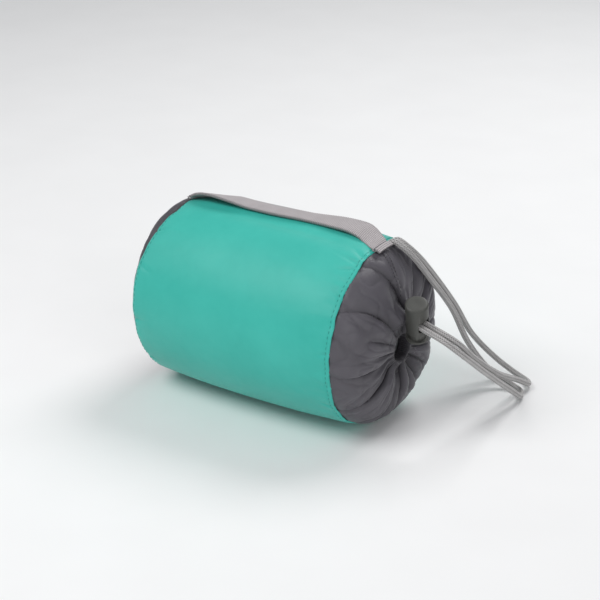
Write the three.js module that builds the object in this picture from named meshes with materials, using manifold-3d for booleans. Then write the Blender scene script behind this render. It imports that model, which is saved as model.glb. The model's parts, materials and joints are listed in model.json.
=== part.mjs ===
// A camp pillow packed for carrying: the deflated pillow is rolled up inside its own stuff sack.
// The sack is a cloth tube with a sewn base, a gathered mouth closed by a drawcord and a barrel
// cord lock, and a webbing strap along its top. Millimetres, +Z up. +X points at the mouth.
// The origin is on the ground, under the middle of the sack.
import * as THREE from 'three';
import { mergeVertices } from 'three/addons/utils/BufferGeometryUtils.js';
import Module from 'manifold-3d';

const wasm = await Module();
wasm.setup();

// ---- Driving dimensions ----
const CLEARANCE = 0.3; // between pieces that touch on the real object
const FABRIC = 0.6; // wall of the sack's cloth, with its folds

// Sack: a tube that swells a little between its two seams
const PACK_LENGTH = 91.4;
const SACK_RADIUS = 31; // at the fullest place
const MOUTH_SEAM_RADIUS = 29.2;
const BASE_SHOULDER_RADIUS = 29.8;
const BASE_SEAM_RADIUS = 27.6;
const BASE_SHOULDER_LENGTH = 3.4; // the tube's rounded end, before the base seam
const MOUTH_PANEL_DEPTH = 9.7; // from the mouth seam to the front of the gathers
const BASE_PANEL_DEPTH = 5; // from the base seam to the back of the sack
const SETTLING = 1.2; // how far the tube flattens under its own weight
const ROUND_STEPS = 40;
const TUBE_STEPS = 5; // along each of the tube's two curves
const BASE_STEPS = 6;
const MOUTH_STEPS = 7;
const SMALL_ROUND_STEPS = 32; // round the lock, the valve and the hem
const BASE_FULLNESS = 0.55; // how far the base panel bulges, as a share of its depth
const BASE_FLATNESS = 0.6; // radius at which the base panel starts to turn, as a share of its seam's
const BASE_EDGE = 0.9;
const MOUTH_FULLNESS = 0.4; // how far the mouth panel bulges, as a share of its depth
const MOUTH_EDGE = 0.96;
const MOUTH_FLATNESS = 0.65; // radius at which the mouth panel turns flat, as a share of its seam's

// Gathered mouth: a hem with the drawcord's channel in it, low of centre
const MOUTH_HOLE_RADIUS = 3.6;
const HEM_RADIUS = 8.6;
const HEM_BACK = 5.5; // behind the front of the gathers
const HEM_FRONT = 0.8;
const MOUTH_HOLE_DROP = 2.6; // below the sack's axis
const MOUTH_HOLE_Y = -0.2;
const HEM_ROUNDING = 1.2;

// Tapes that bind the seams on the inside
const TAPE_THICKNESS = 0.8;
const TAPE_WIDTH = 4;
const SIDE_TAPE_WIDTH = 6;
const SIDE_TAPE_SAG = 0.2; // a flat tape inside a round tube stands off by this
const SIDE_TAPE_STEPS = 8;

// Webbing strap
const STRAP_WIDTH = 7.5;
const STRAP_THICKNESS = 0.9;
const STRAP_TAB = 2.2; // end of the strap that lies past the mouth seam
const STRAP_STEPS = 40;
const STITCH_ROW = 0.8;
const STITCH_HEIGHT = 0.4;

// Drawcord and where it leaves its anchor
const CORD_DIAMETER = 1.9;
const CORD_STEPS = 80;
const CORD_SIDES = 8;
const ANCHOR_LENGTH = 1.4;
const ANCHOR_WIDTH = 4.4;
const ANCHOR_HEIGHT = 1.6;

// Barrel cord lock
const LOCK_RADIUS = 3.6;
const LOCK_LENGTH = 11.2;
const LOCK_WALL = 0.65;
const LOCK_TOP = 1.2;
const LOCK_ROUNDING = 0.6;
const LOCK_FIT = 0.2; // between the plunger and the barrel's bore
const HOLE_SILL = 1.8; // from the barrel's open end to its cord hole
const HOLE_HEADROOM = 1.9; // empty part of the cord hole above the cords
const PLUNGER_TRAVEL = 2.2;
const PLUNGER_HEAD = 1.3;
const PLUNGER_LAND = 1.2; // solid part above the plunger's cord hole
const STRAND_SPACING = 2.04; // between the two strands' centre lines
const SLOT_CORNER = 1;
const SPRING_WIRE = 0.5;
const SPRING_FIT = 0.65; // between the spring and the barrel's bore
const SPRING_TURNS = 4;
const SPRING_STEPS_PER_TURN = 8;

// Rolled pillow: five cloths and films, each folded to the roll's length, wound together
const ROLL_CORE = 2.6;
const ROLL_STEPS_PER_TURN = 20;
const FACE_CLOTH = 1;
const FILM = 0.7;
const BAFFLE = 0.6;
const BAFFLE_EDGE = 0.15; // share of the sheet's length that the baffle stops short of each end

// Inflation valve at the mouth end of the roll
const FLANGE_RADIUS = 12.5;
const FLANGE_THICKNESS = 0.8;
const COLLAR_RADIUS = 8.7;
const COLLAR_BORE = 7.5;
const COLLAR_HEIGHT = 4;
const FLANGE_BORE = 5.3;
const FLAP_RADIUS = 4.4;
const FLAP_THICKNESS = 0.5;
const FLAP_LIFT = 1.2; // how far the flap opens
const INSERT_THICKNESS = 1.6;
const STEM_RADIUS = 0.8;
const VENT_RADIUS = 0.9;
const VENT_CIRCLE = 2.8;
const VENTS = 6;
const VENT_STEPS = 12;
const CAP_THICKNESS = 1;
const CAP_PLUG_RADIUS = 5;
const CAP_PLUG_DEPTH = 0.4;
const VALVE_TO_HEM = 0.4;

// ---- Sizes that follow ----
const FRONT_X = PACK_LENGTH / 2;
const MOUTH_SEAM_X = FRONT_X - MOUTH_PANEL_DEPTH;
const BASE_SEAM_X = BASE_PANEL_DEPTH - FRONT_X;
const AXIS_Z = SACK_RADIUS - SETTLING;
const SEAM_GAP = CLEARANCE / 2;
const CORD_RADIUS = CORD_DIAMETER / 2;
const HEM_BACK_X = FRONT_X - HEM_BACK;
const MOUTH_HOLE_Z = AXIS_Z - MOUTH_HOLE_DROP;

const CLOTHS = {
  teal: { color: 0x2fb9a8, roughness: 0.5, metalness: 0 },
  grey: { color: 0x545158, roughness: 0.5, metalness: 0 },
  tape: { color: 0x3a383c, roughness: 0.8, metalness: 0 },
  webbing: { color: 0xaba6a8, roughness: 0.85, metalness: 0 },
  cord: { color: 0x919091, roughness: 0.8, metalness: 0 },
  thread: { color: 0x2b2a2d, roughness: 0.9, metalness: 0 },
  lock: { color: 0x3f403c, roughness: 0.45, metalness: 0 },
  steel: { color: 0xb5b8bc, roughness: 0.3, metalness: 1 },
  face: { color: 0x9aa6a8, roughness: 0.95, metalness: 0 },
  film: { color: 0xcfd6d8, roughness: 0.35, metalness: 0 },
  valve: { color: 0x4a4d50, roughness: 0.4, metalness: 0 },
  silicone: { color: 0xdde2e3, roughness: 0.4, metalness: 0 },
};

const pillow = new THREE.Group();

function addPiece(name, geometry, finish, parent = pillow) {
  const material = new THREE.MeshStandardMaterial(CLOTHS[finish]);
  const mesh = new THREE.Mesh(geometry, material);
  mesh.name = name;
  parent.add(mesh);
  return mesh;
}

// ---- Solids: cutting and joining ----
function toSolid(geometry) {
  const bare = geometry.clone();
  bare.deleteAttribute('normal');
  bare.deleteAttribute('uv');
  const merged = mergeVertices(bare, 1e-4);
  const vertProperties = new Float32Array(merged.attributes.position.array);
  const triVerts = new Uint32Array(merged.index.array);
  return new wasm.Manifold(new wasm.Mesh({ numProp: 3, vertProperties, triVerts }));
}

function toGeometry(solid) {
  const mesh = solid.getMesh();
  const geometry = new THREE.BufferGeometry();
  geometry.setAttribute('position', new THREE.BufferAttribute(mesh.vertProperties, 3));
  geometry.setIndex(new THREE.BufferAttribute(mesh.triVerts, 1));
  geometry.computeVertexNormals();
  return geometry;
}

function cut(geometry, ...tools) {
  return toGeometry(tools.reduce((solid, tool) => solid.subtract(toSolid(tool)), toSolid(geometry)));
}

// ---- Turned shapes: a profile of (x, radius) points spun round the sack's axis ----
function turned(profile, { y = 0, z = AXIS_Z, steps = ROUND_STEPS } = {}) {
  const points = profile.map(([x, radius]) => new THREE.Vector2(radius, x));
  const geometry = new THREE.LatheGeometry(points, steps);
  geometry.rotateZ(-Math.PI / 2);
  geometry.translate(0, y, z);
  return geometry;
}

// A round bar along the axis
function bar(x0, x1, radius, place) {
  return turned([[x0, 0], [x0, radius], [x1, radius], [x1, 0]], place);
}

// Moves an outline of (x, radius) points towards the inside of the sack
function inset(outline, distance) {
  return outline.map(([x, radius], i) => {
    const [x0, r0] = outline[Math.max(i - 1, 0)];
    const [x1, r1] = outline[Math.min(i + 1, outline.length - 1)];
    const length = Math.hypot(x1 - x0, r1 - r0);
    const inner = radius - (distance * (x1 - x0)) / length;
    return [x + (distance * (r1 - r0)) / length, radius === 0 ? 0 : inner];
  });
}

// A layer of cloth that follows an outline, between two depths below it
function layer(outline, from, to) {
  const outer = inset(outline, from);
  const profile = [...outer, ...inset(outline, to).reverse()];
  if (outer[0][1] > 0) profile.push(outer[0]);
  return profile;
}

function outlineOf(path, divisions) {
  return path.getPoints(divisions).map((point) => [point.x, point.y]);
}

// ---- Sack ----
const shoulderX = BASE_SEAM_X + BASE_SHOULDER_LENGTH;
const swell = 2 * SACK_RADIUS - (BASE_SHOULDER_RADIUS + MOUTH_SEAM_RADIUS) / 2;

const tubePath = new THREE.Path();
tubePath.moveTo(BASE_SEAM_X, BASE_SEAM_RADIUS);
tubePath.quadraticCurveTo(
  BASE_SEAM_X + BASE_SHOULDER_LENGTH / 4,
  BASE_SHOULDER_RADIUS,
  shoulderX,
  BASE_SHOULDER_RADIUS,
);
tubePath.quadraticCurveTo((shoulderX + MOUTH_SEAM_X) / 2, swell, MOUTH_SEAM_X, MOUTH_SEAM_RADIUS);
const tubeOutline = outlineOf(tubePath, TUBE_STEPS);

const basePath = new THREE.Path();
basePath.moveTo(-FRONT_X, 0);
basePath.bezierCurveTo(
  -FRONT_X,
  BASE_SEAM_RADIUS * BASE_FLATNESS,
  BASE_SEAM_X - BASE_PANEL_DEPTH * BASE_FULLNESS,
  BASE_SEAM_RADIUS * BASE_EDGE,
  BASE_SEAM_X,
  BASE_SEAM_RADIUS,
);
const baseOutline = outlineOf(basePath, BASE_STEPS);

const mouthPath = new THREE.Path();
mouthPath.moveTo(MOUTH_SEAM_X, MOUTH_SEAM_RADIUS);
mouthPath.bezierCurveTo(
  MOUTH_SEAM_X + MOUTH_PANEL_DEPTH * MOUTH_FULLNESS,
  MOUTH_SEAM_RADIUS * MOUTH_EDGE,
  FRONT_X,
  MOUTH_SEAM_RADIUS * MOUTH_FLATNESS,
  FRONT_X,
  HEM_RADIUS - MOUTH_HOLE_DROP - FABRIC,
);
const mouthOutline = outlineOf(mouthPath, MOUTH_STEPS);
const sackOutline = [...tubeOutline, ...mouthOutline.slice(1)];

// The sack's outer radius at a place along it
function radiusAt(x, outline = sackOutline) {
  const next = Math.max(1, outline.findIndex((point) => point[0] >= x));
  const [x0, r0] = outline[next - 1];
  const [x1, r1] = outline[next];
  return r0 + ((r1 - r0) * (x - x0)) / (x1 - x0);
}

// Flattens what lies below the ground: each layer stays as deep under the cloth as it was
function settle(geometry) {
  const position = geometry.attributes.position;
  for (let i = 0; i < position.count; i += 1) {
    const radius = Math.hypot(position.getY(i), position.getZ(i) - AXIS_Z);
    const depth = radiusAt(position.getX(i)) - radius;
    position.setZ(i, Math.max(position.getZ(i), depth));
  }
  return geometry;
}

// The part of an outline between two places along it
function stretch(outline, x0, x1) {
  const between = outline.filter(([x]) => x > x0 + SEAM_GAP && x < x1 - SEAM_GAP);
  return [[x0, radiusAt(x0)], ...between, [x1, radiusAt(x1)]];
}

const tubeStretch = stretch(tubeOutline, BASE_SEAM_X + SEAM_GAP, MOUTH_SEAM_X - SEAM_GAP);
addPiece('sack_body', settle(turned(layer(tubeStretch, 0, FABRIC))), 'teal');

const basePanel = baseOutline.map(([x, radius]) => [x - SEAM_GAP, radius]);
basePanel[0] = baseOutline[0];
addPiece('base_panel', turned(layer(basePanel, 0, FABRIC)), 'grey');

const tapeDepth = FABRIC + CLEARANCE;
const baseTapeX = BASE_SEAM_X + BASE_SHOULDER_LENGTH;
const baseTape = stretch(tubeOutline, baseTapeX, baseTapeX + TAPE_WIDTH);
const tapeBottom = tapeDepth + TAPE_THICKNESS;
addPiece('base_seam_tape', settle(turned(layer(baseTape, tapeDepth, tapeBottom))), 'tape');

const mouthTapeX = MOUTH_SEAM_X - 2 * SEAM_GAP;
const mouthTape = stretch(tubeOutline, mouthTapeX - TAPE_WIDTH, mouthTapeX);
addPiece('mouth_seam_tape', settle(turned(layer(mouthTape, tapeDepth, tapeBottom))), 'tape');

// ---- Ribbons: a flat strip along a line of points, each with the direction across it ----
function ribbon(centre, across, width, thickness, steps) {
  const curve = new THREE.CatmullRomCurve3(centre);
  const acrossCurve = new THREE.CatmullRomCurve3(across);
  const geometry = new THREE.BoxGeometry(1, width, thickness, steps, 1, 1);
  const position = geometry.attributes.position;
  for (let i = 0; i < position.count; i += 1) {
    const along = position.getX(i) + 0.5;
    const forward = curve.getTangent(along);
    const side = acrossCurve.getPoint(along);
    side.addScaledVector(forward, -side.dot(forward)).normalize();
    const up = forward.clone().cross(side);
    const point = curve.getPoint(along);
    point.addScaledVector(side, position.getY(i)).addScaledVector(up, position.getZ(i));
    position.setXYZ(i, point.x, point.y, point.z);
  }
  return geometry;
}

// A ribbon laid along the sack. Each station is [x, degrees round from the top, height over the cloth]
function laidRibbon(stations, lift, width, thickness, steps) {
  const centre = [];
  const across = [];
  for (const [x, degrees, height] of stations) {
    const angle = THREE.MathUtils.degToRad(degrees);
    const radius = radiusAt(x) + lift + height;
    centre.push(new THREE.Vector3(x, radius * Math.sin(angle), AXIS_Z + radius * Math.cos(angle)));
    across.push(new THREE.Vector3(0, Math.cos(angle), -Math.sin(angle)));
  }
  return ribbon(centre, across, width, thickness, steps);
}

// The strap runs from the base seam to just past the mouth seam. It is slack: it stands off the
// cloth near the base, and lies a little to the far side of the top in between.
const strapLift = CLEARANCE + STRAP_THICKNESS / 2;
const strapStart = BASE_SEAM_X + 1;
const strapRun = MOUTH_SEAM_X - strapStart;
const STRAP_LINE = [
  [0, 0, 0.3],
  [0.015, 0, 0.3],
  [0.03, 0.2, 0.5],
  [0.06, 0.8, 1.5],
  [0.11, 1.5, 2.9],
  [0.18, 2.5, 3.4],
  [0.26, 4, 2.2],
  [0.35, 6, 0.8],
  [0.47, 8, 0.1],
  [0.6, 9, 0.1],
  [0.72, 8, 0.1],
  [0.82, 5.5, 0.1],
  [0.91, 1.5, 0.1],
  [0.97, -1, 0.1],
  [1, -2, 0.2],
];
const strapStations = STRAP_LINE.map(([share, degrees, height]) => [
  strapStart + share * strapRun,
  degrees,
  height,
]);
strapStations.push([MOUTH_SEAM_X + STRAP_TAB, -2.4, 0.1]);
const strap = laidRibbon(strapStations, strapLift, STRAP_WIDTH, STRAP_THICKNESS, STRAP_STEPS);
addPiece('carry_strap', strap, 'webbing');

const stitchLift = strapLift + STRAP_THICKNESS / 2 + CLEARANCE + STITCH_HEIGHT / 2;
function strapStitching(x, degrees, height) {
  const half = STITCH_ROW / 2;
  const stations = [-half, 0, half].map((step) => [x + step, degrees, height]);
  return laidRibbon(stations, stitchLift, STRAP_WIDTH - STITCH_ROW, STITCH_HEIGHT, 2);
}
addPiece('strap_mouth_stitching', strapStitching(MOUTH_SEAM_X - STITCH_ROW, -1.8, 0.2), 'thread');
addPiece('strap_base_stitching', strapStitching(strapStart + STITCH_ROW / 2, 0, 0.5), 'thread');

const sideTapeLift = -(FABRIC + CLEARANCE + SIDE_TAPE_SAG + TAPE_THICKNESS / 2);
const sideTapeStart = baseTapeX + TAPE_WIDTH + 2 * CLEARANCE;
const sideTapeEnd = mouthTapeX - TAPE_WIDTH - 2 * CLEARANCE;
const sideTapeStations = [0, 0.25, 0.5, 0.75, 1].map((share) => [
  sideTapeStart + share * (sideTapeEnd - sideTapeStart),
  0,
  0,
]);
const sideTape = laidRibbon(sideTapeStations, sideTapeLift, SIDE_TAPE_WIDTH, TAPE_THICKNESS, SIDE_TAPE_STEPS);
addPiece('side_seam_tape', sideTape, 'tape');

// ---- Drawcord ----
// From its anchor at the mouth seam over the gathers and down to a fold on the ground, up through
// the lock, round the channel in the hem, back through the lock, and by a second fold on the
// ground back to the anchor. x is measured from the front of the gathers.
const CORD_ROUTE = [
  [-8.7, 4.2, 59.9],
  [-6.3, 5.0, 58.4],
  [-3.5, 8.2, 53.9],
  [-1.6, 15.0, 45.2],
  [0.3, 26.6, 30.9],
  [3.2, 33.2, 17.0],
  [8.5, 40.0, 5.4],
  [14.3, 42.0, 2.0],
  [18.5, 40.8, 1.2],
  [20.9, 36.8, 1.5],
  [21.1, 29.0, 7.0],
  [20.6, 12.5, 19.7],
  [20.5, 3.5, 26.9],
  [19.5, -1.9, 31.6],
  [15.7, -4.9, 35.6],
  [7.9, -4.0, 37.3],
  [1.2, -3.2, 38.8],
  [-0.8, -3.2, 38.7],
  [-2.6, -3.3, 37.6],
  [-3.6, -3.5, 35.9],
  [-3.8, -4.5, 32.7],
  [-3.8, -5.7, 27.8],
  [-3.8, -4.2, 23.6],
  [-3.8, -0.2, 21.7],
  [-3.8, 4.0, 23.6],
  [-3.8, 5.4, 27.8],
  [-3.8, 3.8, 32.2],
  [-3.8, 0.3, 36.0],
  [-3.6, -0.7, 37.6],
  [-2.6, -1.1, 38.9],
  [-0.8, -1.2, 39.5],
  [1.6, -1.3, 39.4],
  [8.3, -2.1, 38.0],
  [16.0, -2.9, 36.4],
  [18.5, -0.8, 33.9],
  [19.5, 5.5, 27.8],
  [19.3, 23.5, 14.5],
  [18.2, 39.6, 5.4],
  [19.4, 44.8, 2.2],
  [16.7, 48.6, 1.2],
  [12.1, 50.2, 1.7],
  [6.6, 46.8, 6.9],
  [1.6, 38.5, 17.7],
  [-0.2, 29.0, 31.5],
  [-2.2, 17.3, 46.1],
  [-3.7, 11.0, 53.5],
  [-6.8, 7.2, 58.7],
  [-8.8, 6.4, 59.7],
];
const cordPoints = CORD_ROUTE.map(([x, y, z]) => new THREE.Vector3(FRONT_X + x, y, z));
const cordPath = new THREE.CatmullRomCurve3(cordPoints);

function cordTube(radius) {
  const section = new THREE.Shape();
  for (let i = 0; i < CORD_SIDES; i += 1) {
    const angle = (2 * Math.PI * i) / CORD_SIDES;
    if (i === 0) section.moveTo(radius, 0);
    else section.lineTo(radius * Math.cos(angle), radius * Math.sin(angle));
  }
  section.closePath();
  return new THREE.ExtrudeGeometry(section, { steps: CORD_STEPS, extrudePath: cordPath });
}
addPiece('drawcord', cordTube(CORD_RADIUS), 'cord');

// ---- Gathered mouth ----
const cordChannel = cordTube(CORD_RADIUS + CLEARANCE);
const holePlace = { y: MOUTH_HOLE_Y, z: MOUTH_HOLE_Z };
const mouthStretch = mouthOutline.map(([x, radius], i) => [i === 0 ? x + SEAM_GAP : x, radius]);
const mouthShell = turned(layer(mouthStretch, 0, FABRIC));
const hemRoom = bar(HEM_BACK_X - CLEARANCE, FRONT_X + FABRIC, HEM_RADIUS + CLEARANCE, holePlace);
addPiece('mouth_panel', cut(mouthShell, hemRoom, cordChannel), 'grey');

const hemFrontX = FRONT_X - HEM_FRONT;
const hem = turned(
  [
    [HEM_BACK_X, MOUTH_HOLE_RADIUS],
    [HEM_BACK_X, HEM_RADIUS - HEM_ROUNDING],
    [HEM_BACK_X + HEM_ROUNDING, HEM_RADIUS],
    [hemFrontX - HEM_ROUNDING, HEM_RADIUS],
    [hemFrontX, HEM_RADIUS - HEM_ROUNDING],
    [hemFrontX, MOUTH_HOLE_RADIUS + HEM_ROUNDING],
    [hemFrontX - HEM_ROUNDING, MOUTH_HOLE_RADIUS],
    [HEM_BACK_X, MOUTH_HOLE_RADIUS],
  ],
  { ...holePlace, steps: SMALL_ROUND_STEPS },
);
addPiece('drawcord_channel', cut(hem, cordChannel), 'grey');

// The cord's two ends are sewn down beside the strap, on the mouth seam
const [firstPoint, lastPoint] = [cordPoints[0], cordPoints.at(-1)];
const anchorX = Math.min(firstPoint.x, lastPoint.x) - CLEARANCE - CORD_RADIUS / 2;
const anchorY = (firstPoint.y + lastPoint.y) / 2;
const anchorDegrees = THREE.MathUtils.radToDeg(Math.asin(anchorY / MOUTH_SEAM_RADIUS));
const anchorStations = [1, 0.5, 0].map((share) => [anchorX - share * ANCHOR_LENGTH, anchorDegrees, 0]);
addPiece(
  'cord_anchor_stitching',
  laidRibbon(anchorStations, CLEARANCE + ANCHOR_HEIGHT / 2, ANCHOR_WIDTH, ANCHOR_HEIGHT, 2),
  'thread',
);

// ---- Cord lock, in its own frame: local X along the strands, local Z up the barrel ----
const STRANDS_CENTRE = new THREE.Vector3(4.7, -2.6, 38.4); // x from the front of the gathers
const SLIDE_DIRECTION = new THREE.Vector3(1, -0.12, -0.22).normalize();
const LOCK_LEAN = 20; // degrees that the barrel's top leans towards -Y

const barrelAxis = new THREE.Vector3(0, -Math.sin(THREE.MathUtils.degToRad(LOCK_LEAN)), 1);
barrelAxis.addScaledVector(SLIDE_DIRECTION, -barrelAxis.dot(SLIDE_DIRECTION)).normalize();
const lockSide = barrelAxis.clone().cross(SLIDE_DIRECTION);
const cordHeight = HOLE_SILL + CLEARANCE + CORD_RADIUS;

const lockGroup = new THREE.Group();
const lockBasis = new THREE.Matrix4().makeBasis(SLIDE_DIRECTION, lockSide, barrelAxis);
lockGroup.quaternion.setFromRotationMatrix(lockBasis);
lockGroup.position.copy(STRANDS_CENTRE);
lockGroup.position.x += FRONT_X;
lockGroup.position.addScaledVector(barrelAxis, -cordHeight);
pillow.add(lockGroup);

// A profile of (z, radius) points spun round the barrel's axis
function spun(profile) {
  const points = profile.map(([z, radius]) => new THREE.Vector2(radius, z));
  const geometry = new THREE.LatheGeometry(points, SMALL_ROUND_STEPS);
  geometry.rotateX(Math.PI / 2);
  return geometry;
}

// A rounded slot along the strands, through the whole barrel
function cordSlot(bottom, top) {
  const half = STRAND_SPACING / 2 + CORD_RADIUS + CLEARANCE / 2;
  const shape = new THREE.Shape();
  const side = half - SLOT_CORNER;
  const low = bottom + SLOT_CORNER;
  const high = top - SLOT_CORNER;
  shape.moveTo(-half, low);
  shape.absarc(-side, low, SLOT_CORNER, Math.PI, 1.5 * Math.PI);
  shape.absarc(side, low, SLOT_CORNER, -0.5 * Math.PI, 0);
  shape.absarc(side, high, SLOT_CORNER, 0, 0.5 * Math.PI);
  shape.absarc(-side, high, SLOT_CORNER, 0.5 * Math.PI, Math.PI);
  const depth = 4 * LOCK_RADIUS;
  const geometry = new THREE.ExtrudeGeometry(shape, { depth, bevelEnabled: false, curveSegments: 4 });
  geometry.translate(0, 0, -depth / 2);
  const acrossBarrel = new THREE.Vector3(0, 1, 0);
  const upBarrel = new THREE.Vector3(0, 0, 1);
  const alongStrands = new THREE.Vector3(1, 0, 0);
  geometry.applyMatrix4(new THREE.Matrix4().makeBasis(acrossBarrel, upBarrel, alongStrands));
  return geometry;
}

const lockBore = LOCK_RADIUS - LOCK_WALL;
const boreTop = LOCK_LENGTH - LOCK_TOP;
const barrel = spun([
  [0, lockBore],
  [0, LOCK_RADIUS],
  [LOCK_LENGTH - LOCK_ROUNDING, LOCK_RADIUS],
  [LOCK_LENGTH - LOCK_ROUNDING * 0.3, LOCK_RADIUS - LOCK_ROUNDING * 0.3],
  [LOCK_LENGTH, LOCK_RADIUS - LOCK_ROUNDING],
  [LOCK_LENGTH, 0],
  [boreTop, 0],
  [boreTop, lockBore],
  [0, lockBore],
]);
const holeTop = cordHeight + CORD_RADIUS + HOLE_HEADROOM;
addPiece('lock_barrel', cut(barrel, cordSlot(HOLE_SILL, holeTop)), 'lock', lockGroup);

// The plunger is shown at rest, pushed out by its spring, with the cords at the top of its hole
const plungerRadius = lockBore - LOCK_FIT;
const plungerHoleTop = cordHeight + CORD_RADIUS + CLEARANCE;
const plungerTop = plungerHoleTop + PLUNGER_LAND;
const plunger = spun([
  [-PLUNGER_TRAVEL - PLUNGER_HEAD, 0],
  [-PLUNGER_TRAVEL - PLUNGER_HEAD, LOCK_RADIUS],
  [-PLUNGER_TRAVEL - CLEARANCE, LOCK_RADIUS],
  [-PLUNGER_TRAVEL - CLEARANCE, plungerRadius],
  [plungerTop, plungerRadius],
  [plungerTop, 0],
]);
const plungerHoleBottom = cordHeight - CORD_RADIUS - CLEARANCE - PLUNGER_TRAVEL;
addPiece('lock_plunger', cut(plunger, cordSlot(plungerHoleBottom, plungerHoleTop)), 'lock', lockGroup);

const springBottom = plungerTop + CLEARANCE + SPRING_WIRE / 2;
const springRise = boreTop - CLEARANCE - SPRING_WIRE / 2 - springBottom;
const springRadius = lockBore - SPRING_FIT - SPRING_WIRE / 2;
const springPoints = [];
for (let i = 0; i <= SPRING_TURNS * SPRING_STEPS_PER_TURN; i += 1) {
  const turn = i / SPRING_STEPS_PER_TURN;
  const angle = 2 * Math.PI * turn;
  const z = springBottom + (springRise * turn) / SPRING_TURNS;
  const [x, y] = [springRadius * Math.cos(angle), springRadius * Math.sin(angle)];
  springPoints.push(new THREE.Vector3(x, y, z));
}
const wireSection = new THREE.Shape();
wireSection.absarc(0, 0, SPRING_WIRE / 2, 0, 2 * Math.PI);
const spring = new THREE.ExtrudeGeometry(wireSection, {
  steps: SPRING_TURNS * SPRING_STEPS_PER_TURN,
  curveSegments: 5,
  extrudePath: new THREE.CatmullRomCurve3(springPoints),
});
addPiece('lock_spring', spring, 'steel', lockGroup);

// ---- Valve, at the mouth end of the roll ----
const insertX = FLANGE_THICKNESS + FLAP_LIFT + FLAP_THICKNESS + CLEARANCE;
const capX = Math.max(insertX + INSERT_THICKNESS + CLEARANCE + CAP_PLUG_DEPTH, COLLAR_HEIGHT + CLEARANCE);
const valveX = HEM_BACK_X - VALVE_TO_HEM - CAP_THICKNESS - capX;

const valveRound = { steps: SMALL_ROUND_STEPS };

const flange = turned([
  [valveX, FLANGE_BORE],
  [valveX, FLANGE_RADIUS],
  [valveX + FLANGE_THICKNESS, FLANGE_RADIUS],
  [valveX + FLANGE_THICKNESS, COLLAR_RADIUS],
  [valveX + COLLAR_HEIGHT, COLLAR_RADIUS],
  [valveX + COLLAR_HEIGHT, COLLAR_BORE],
  [valveX + FLANGE_THICKNESS, COLLAR_BORE],
  [valveX + FLANGE_THICKNESS, FLANGE_BORE],
  [valveX, FLANGE_BORE],
], valveRound);
addPiece('valve_flange', flange, 'valve');

const insertBack = valveX + insertX;
const insertFront = insertBack + INSERT_THICKNESS;
const insertDisc = bar(insertBack, insertFront, COLLAR_BORE - CLEARANCE, valveRound);
const ventBack = insertBack - INSERT_THICKNESS;
const ventFront = insertFront + INSERT_THICKNESS;
const vents = [bar(ventBack, ventFront, STEM_RADIUS + CLEARANCE, { steps: VENT_STEPS })];
for (let i = 0; i < VENTS; i += 1) {
  const angle = (2 * Math.PI * i) / VENTS;
  const [y, z] = [VENT_CIRCLE * Math.cos(angle), AXIS_Z + VENT_CIRCLE * Math.sin(angle)];
  vents.push(bar(ventBack, ventFront, VENT_RADIUS, { y, z, steps: VENT_STEPS }));
}
addPiece('valve_insert', cut(insertDisc, ...vents), 'valve');

// The flap: a silicone disc under the vents, held by a stem through the insert
const flapX = insertBack - CLEARANCE - FLAP_THICKNESS;
const flap = turned([
  [flapX, 0],
  [flapX, FLAP_RADIUS],
  [flapX + FLAP_THICKNESS, FLAP_RADIUS],
  [flapX + FLAP_THICKNESS, STEM_RADIUS],
  [insertFront, STEM_RADIUS],
  [insertFront, 0],
], valveRound);
addPiece('valve_flap', flap, 'silicone');

const capFaceX = valveX + capX;
const cap = turned([
  [capFaceX - CAP_PLUG_DEPTH, 0],
  [capFaceX - CAP_PLUG_DEPTH, CAP_PLUG_RADIUS],
  [capFaceX, CAP_PLUG_RADIUS],
  [capFaceX, COLLAR_RADIUS],
  [capFaceX + CAP_THICKNESS, COLLAR_RADIUS - CAP_THICKNESS / 2],
  [capFaceX + CAP_THICKNESS, 0],
], valveRound);
addPiece('valve_cap', cap, 'valve');

// ---- Rolled pillow ----
const rollRadius = MOUTH_SEAM_RADIUS - tapeDepth - TAPE_THICKNESS - 2 * CLEARANCE;
const rollStart = shoulderX + CLEARANCE;
const rollEnd = valveX - CLEARANCE;
const LAYERS = [
  { name: 'pillow_face_fabric', thickness: FACE_CLOTH, finish: 'face', from: 0, to: 1 },
  { name: 'bladder_upper_film', thickness: FILM, finish: 'film', from: 0, to: 1 },
  { name: 'bladder_baffle', thickness: BAFFLE, finish: 'film', from: BAFFLE_EDGE, to: 1 - BAFFLE_EDGE },
  { name: 'bladder_lower_film', thickness: FILM, finish: 'film', from: 0, to: 1 },
  { name: 'pillow_base_fabric', thickness: FACE_CLOTH, finish: 'grey', from: 0, to: 1 },
];
const rollPitch = LAYERS.reduce((sum, sheet) => sum + sheet.thickness + CLEARANCE, 0);
const rollTurns = (rollRadius - ROLL_CORE - rollPitch) / rollPitch;

// One sheet of the roll, seen along the sack's axis: out along its outer face and back along its inner
function spiralSheet(sheet, depth) {
  const first = Math.round(sheet.from * rollTurns * ROLL_STEPS_PER_TURN);
  const last = Math.round(sheet.to * rollTurns * ROLL_STEPS_PER_TURN);
  const outer = [];
  const inner = [];
  for (let i = first; i <= last; i += 1) {
    const turn = i / ROLL_STEPS_PER_TURN;
    const angle = 2 * Math.PI * turn;
    const radius = ROLL_CORE + rollPitch * turn + depth;
    const far = radius + sheet.thickness;
    outer.push(new THREE.Vector2(far * Math.cos(angle), far * Math.sin(angle)));
    inner.unshift(new THREE.Vector2(radius * Math.cos(angle), radius * Math.sin(angle)));
  }
  const shape = new THREE.Shape([...outer, ...inner]);
  const geometry = new THREE.ExtrudeGeometry(shape, { depth: rollEnd - rollStart, bevelEnabled: false });
  const toY = new THREE.Vector3(0, 1, 0);
  const toZ = new THREE.Vector3(0, 0, 1);
  const toX = new THREE.Vector3(1, 0, 0);
  geometry.applyMatrix4(new THREE.Matrix4().makeBasis(toY, toZ, toX));
  geometry.translate(rollStart, 0, AXIS_Z);
  return geometry;
}

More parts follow.
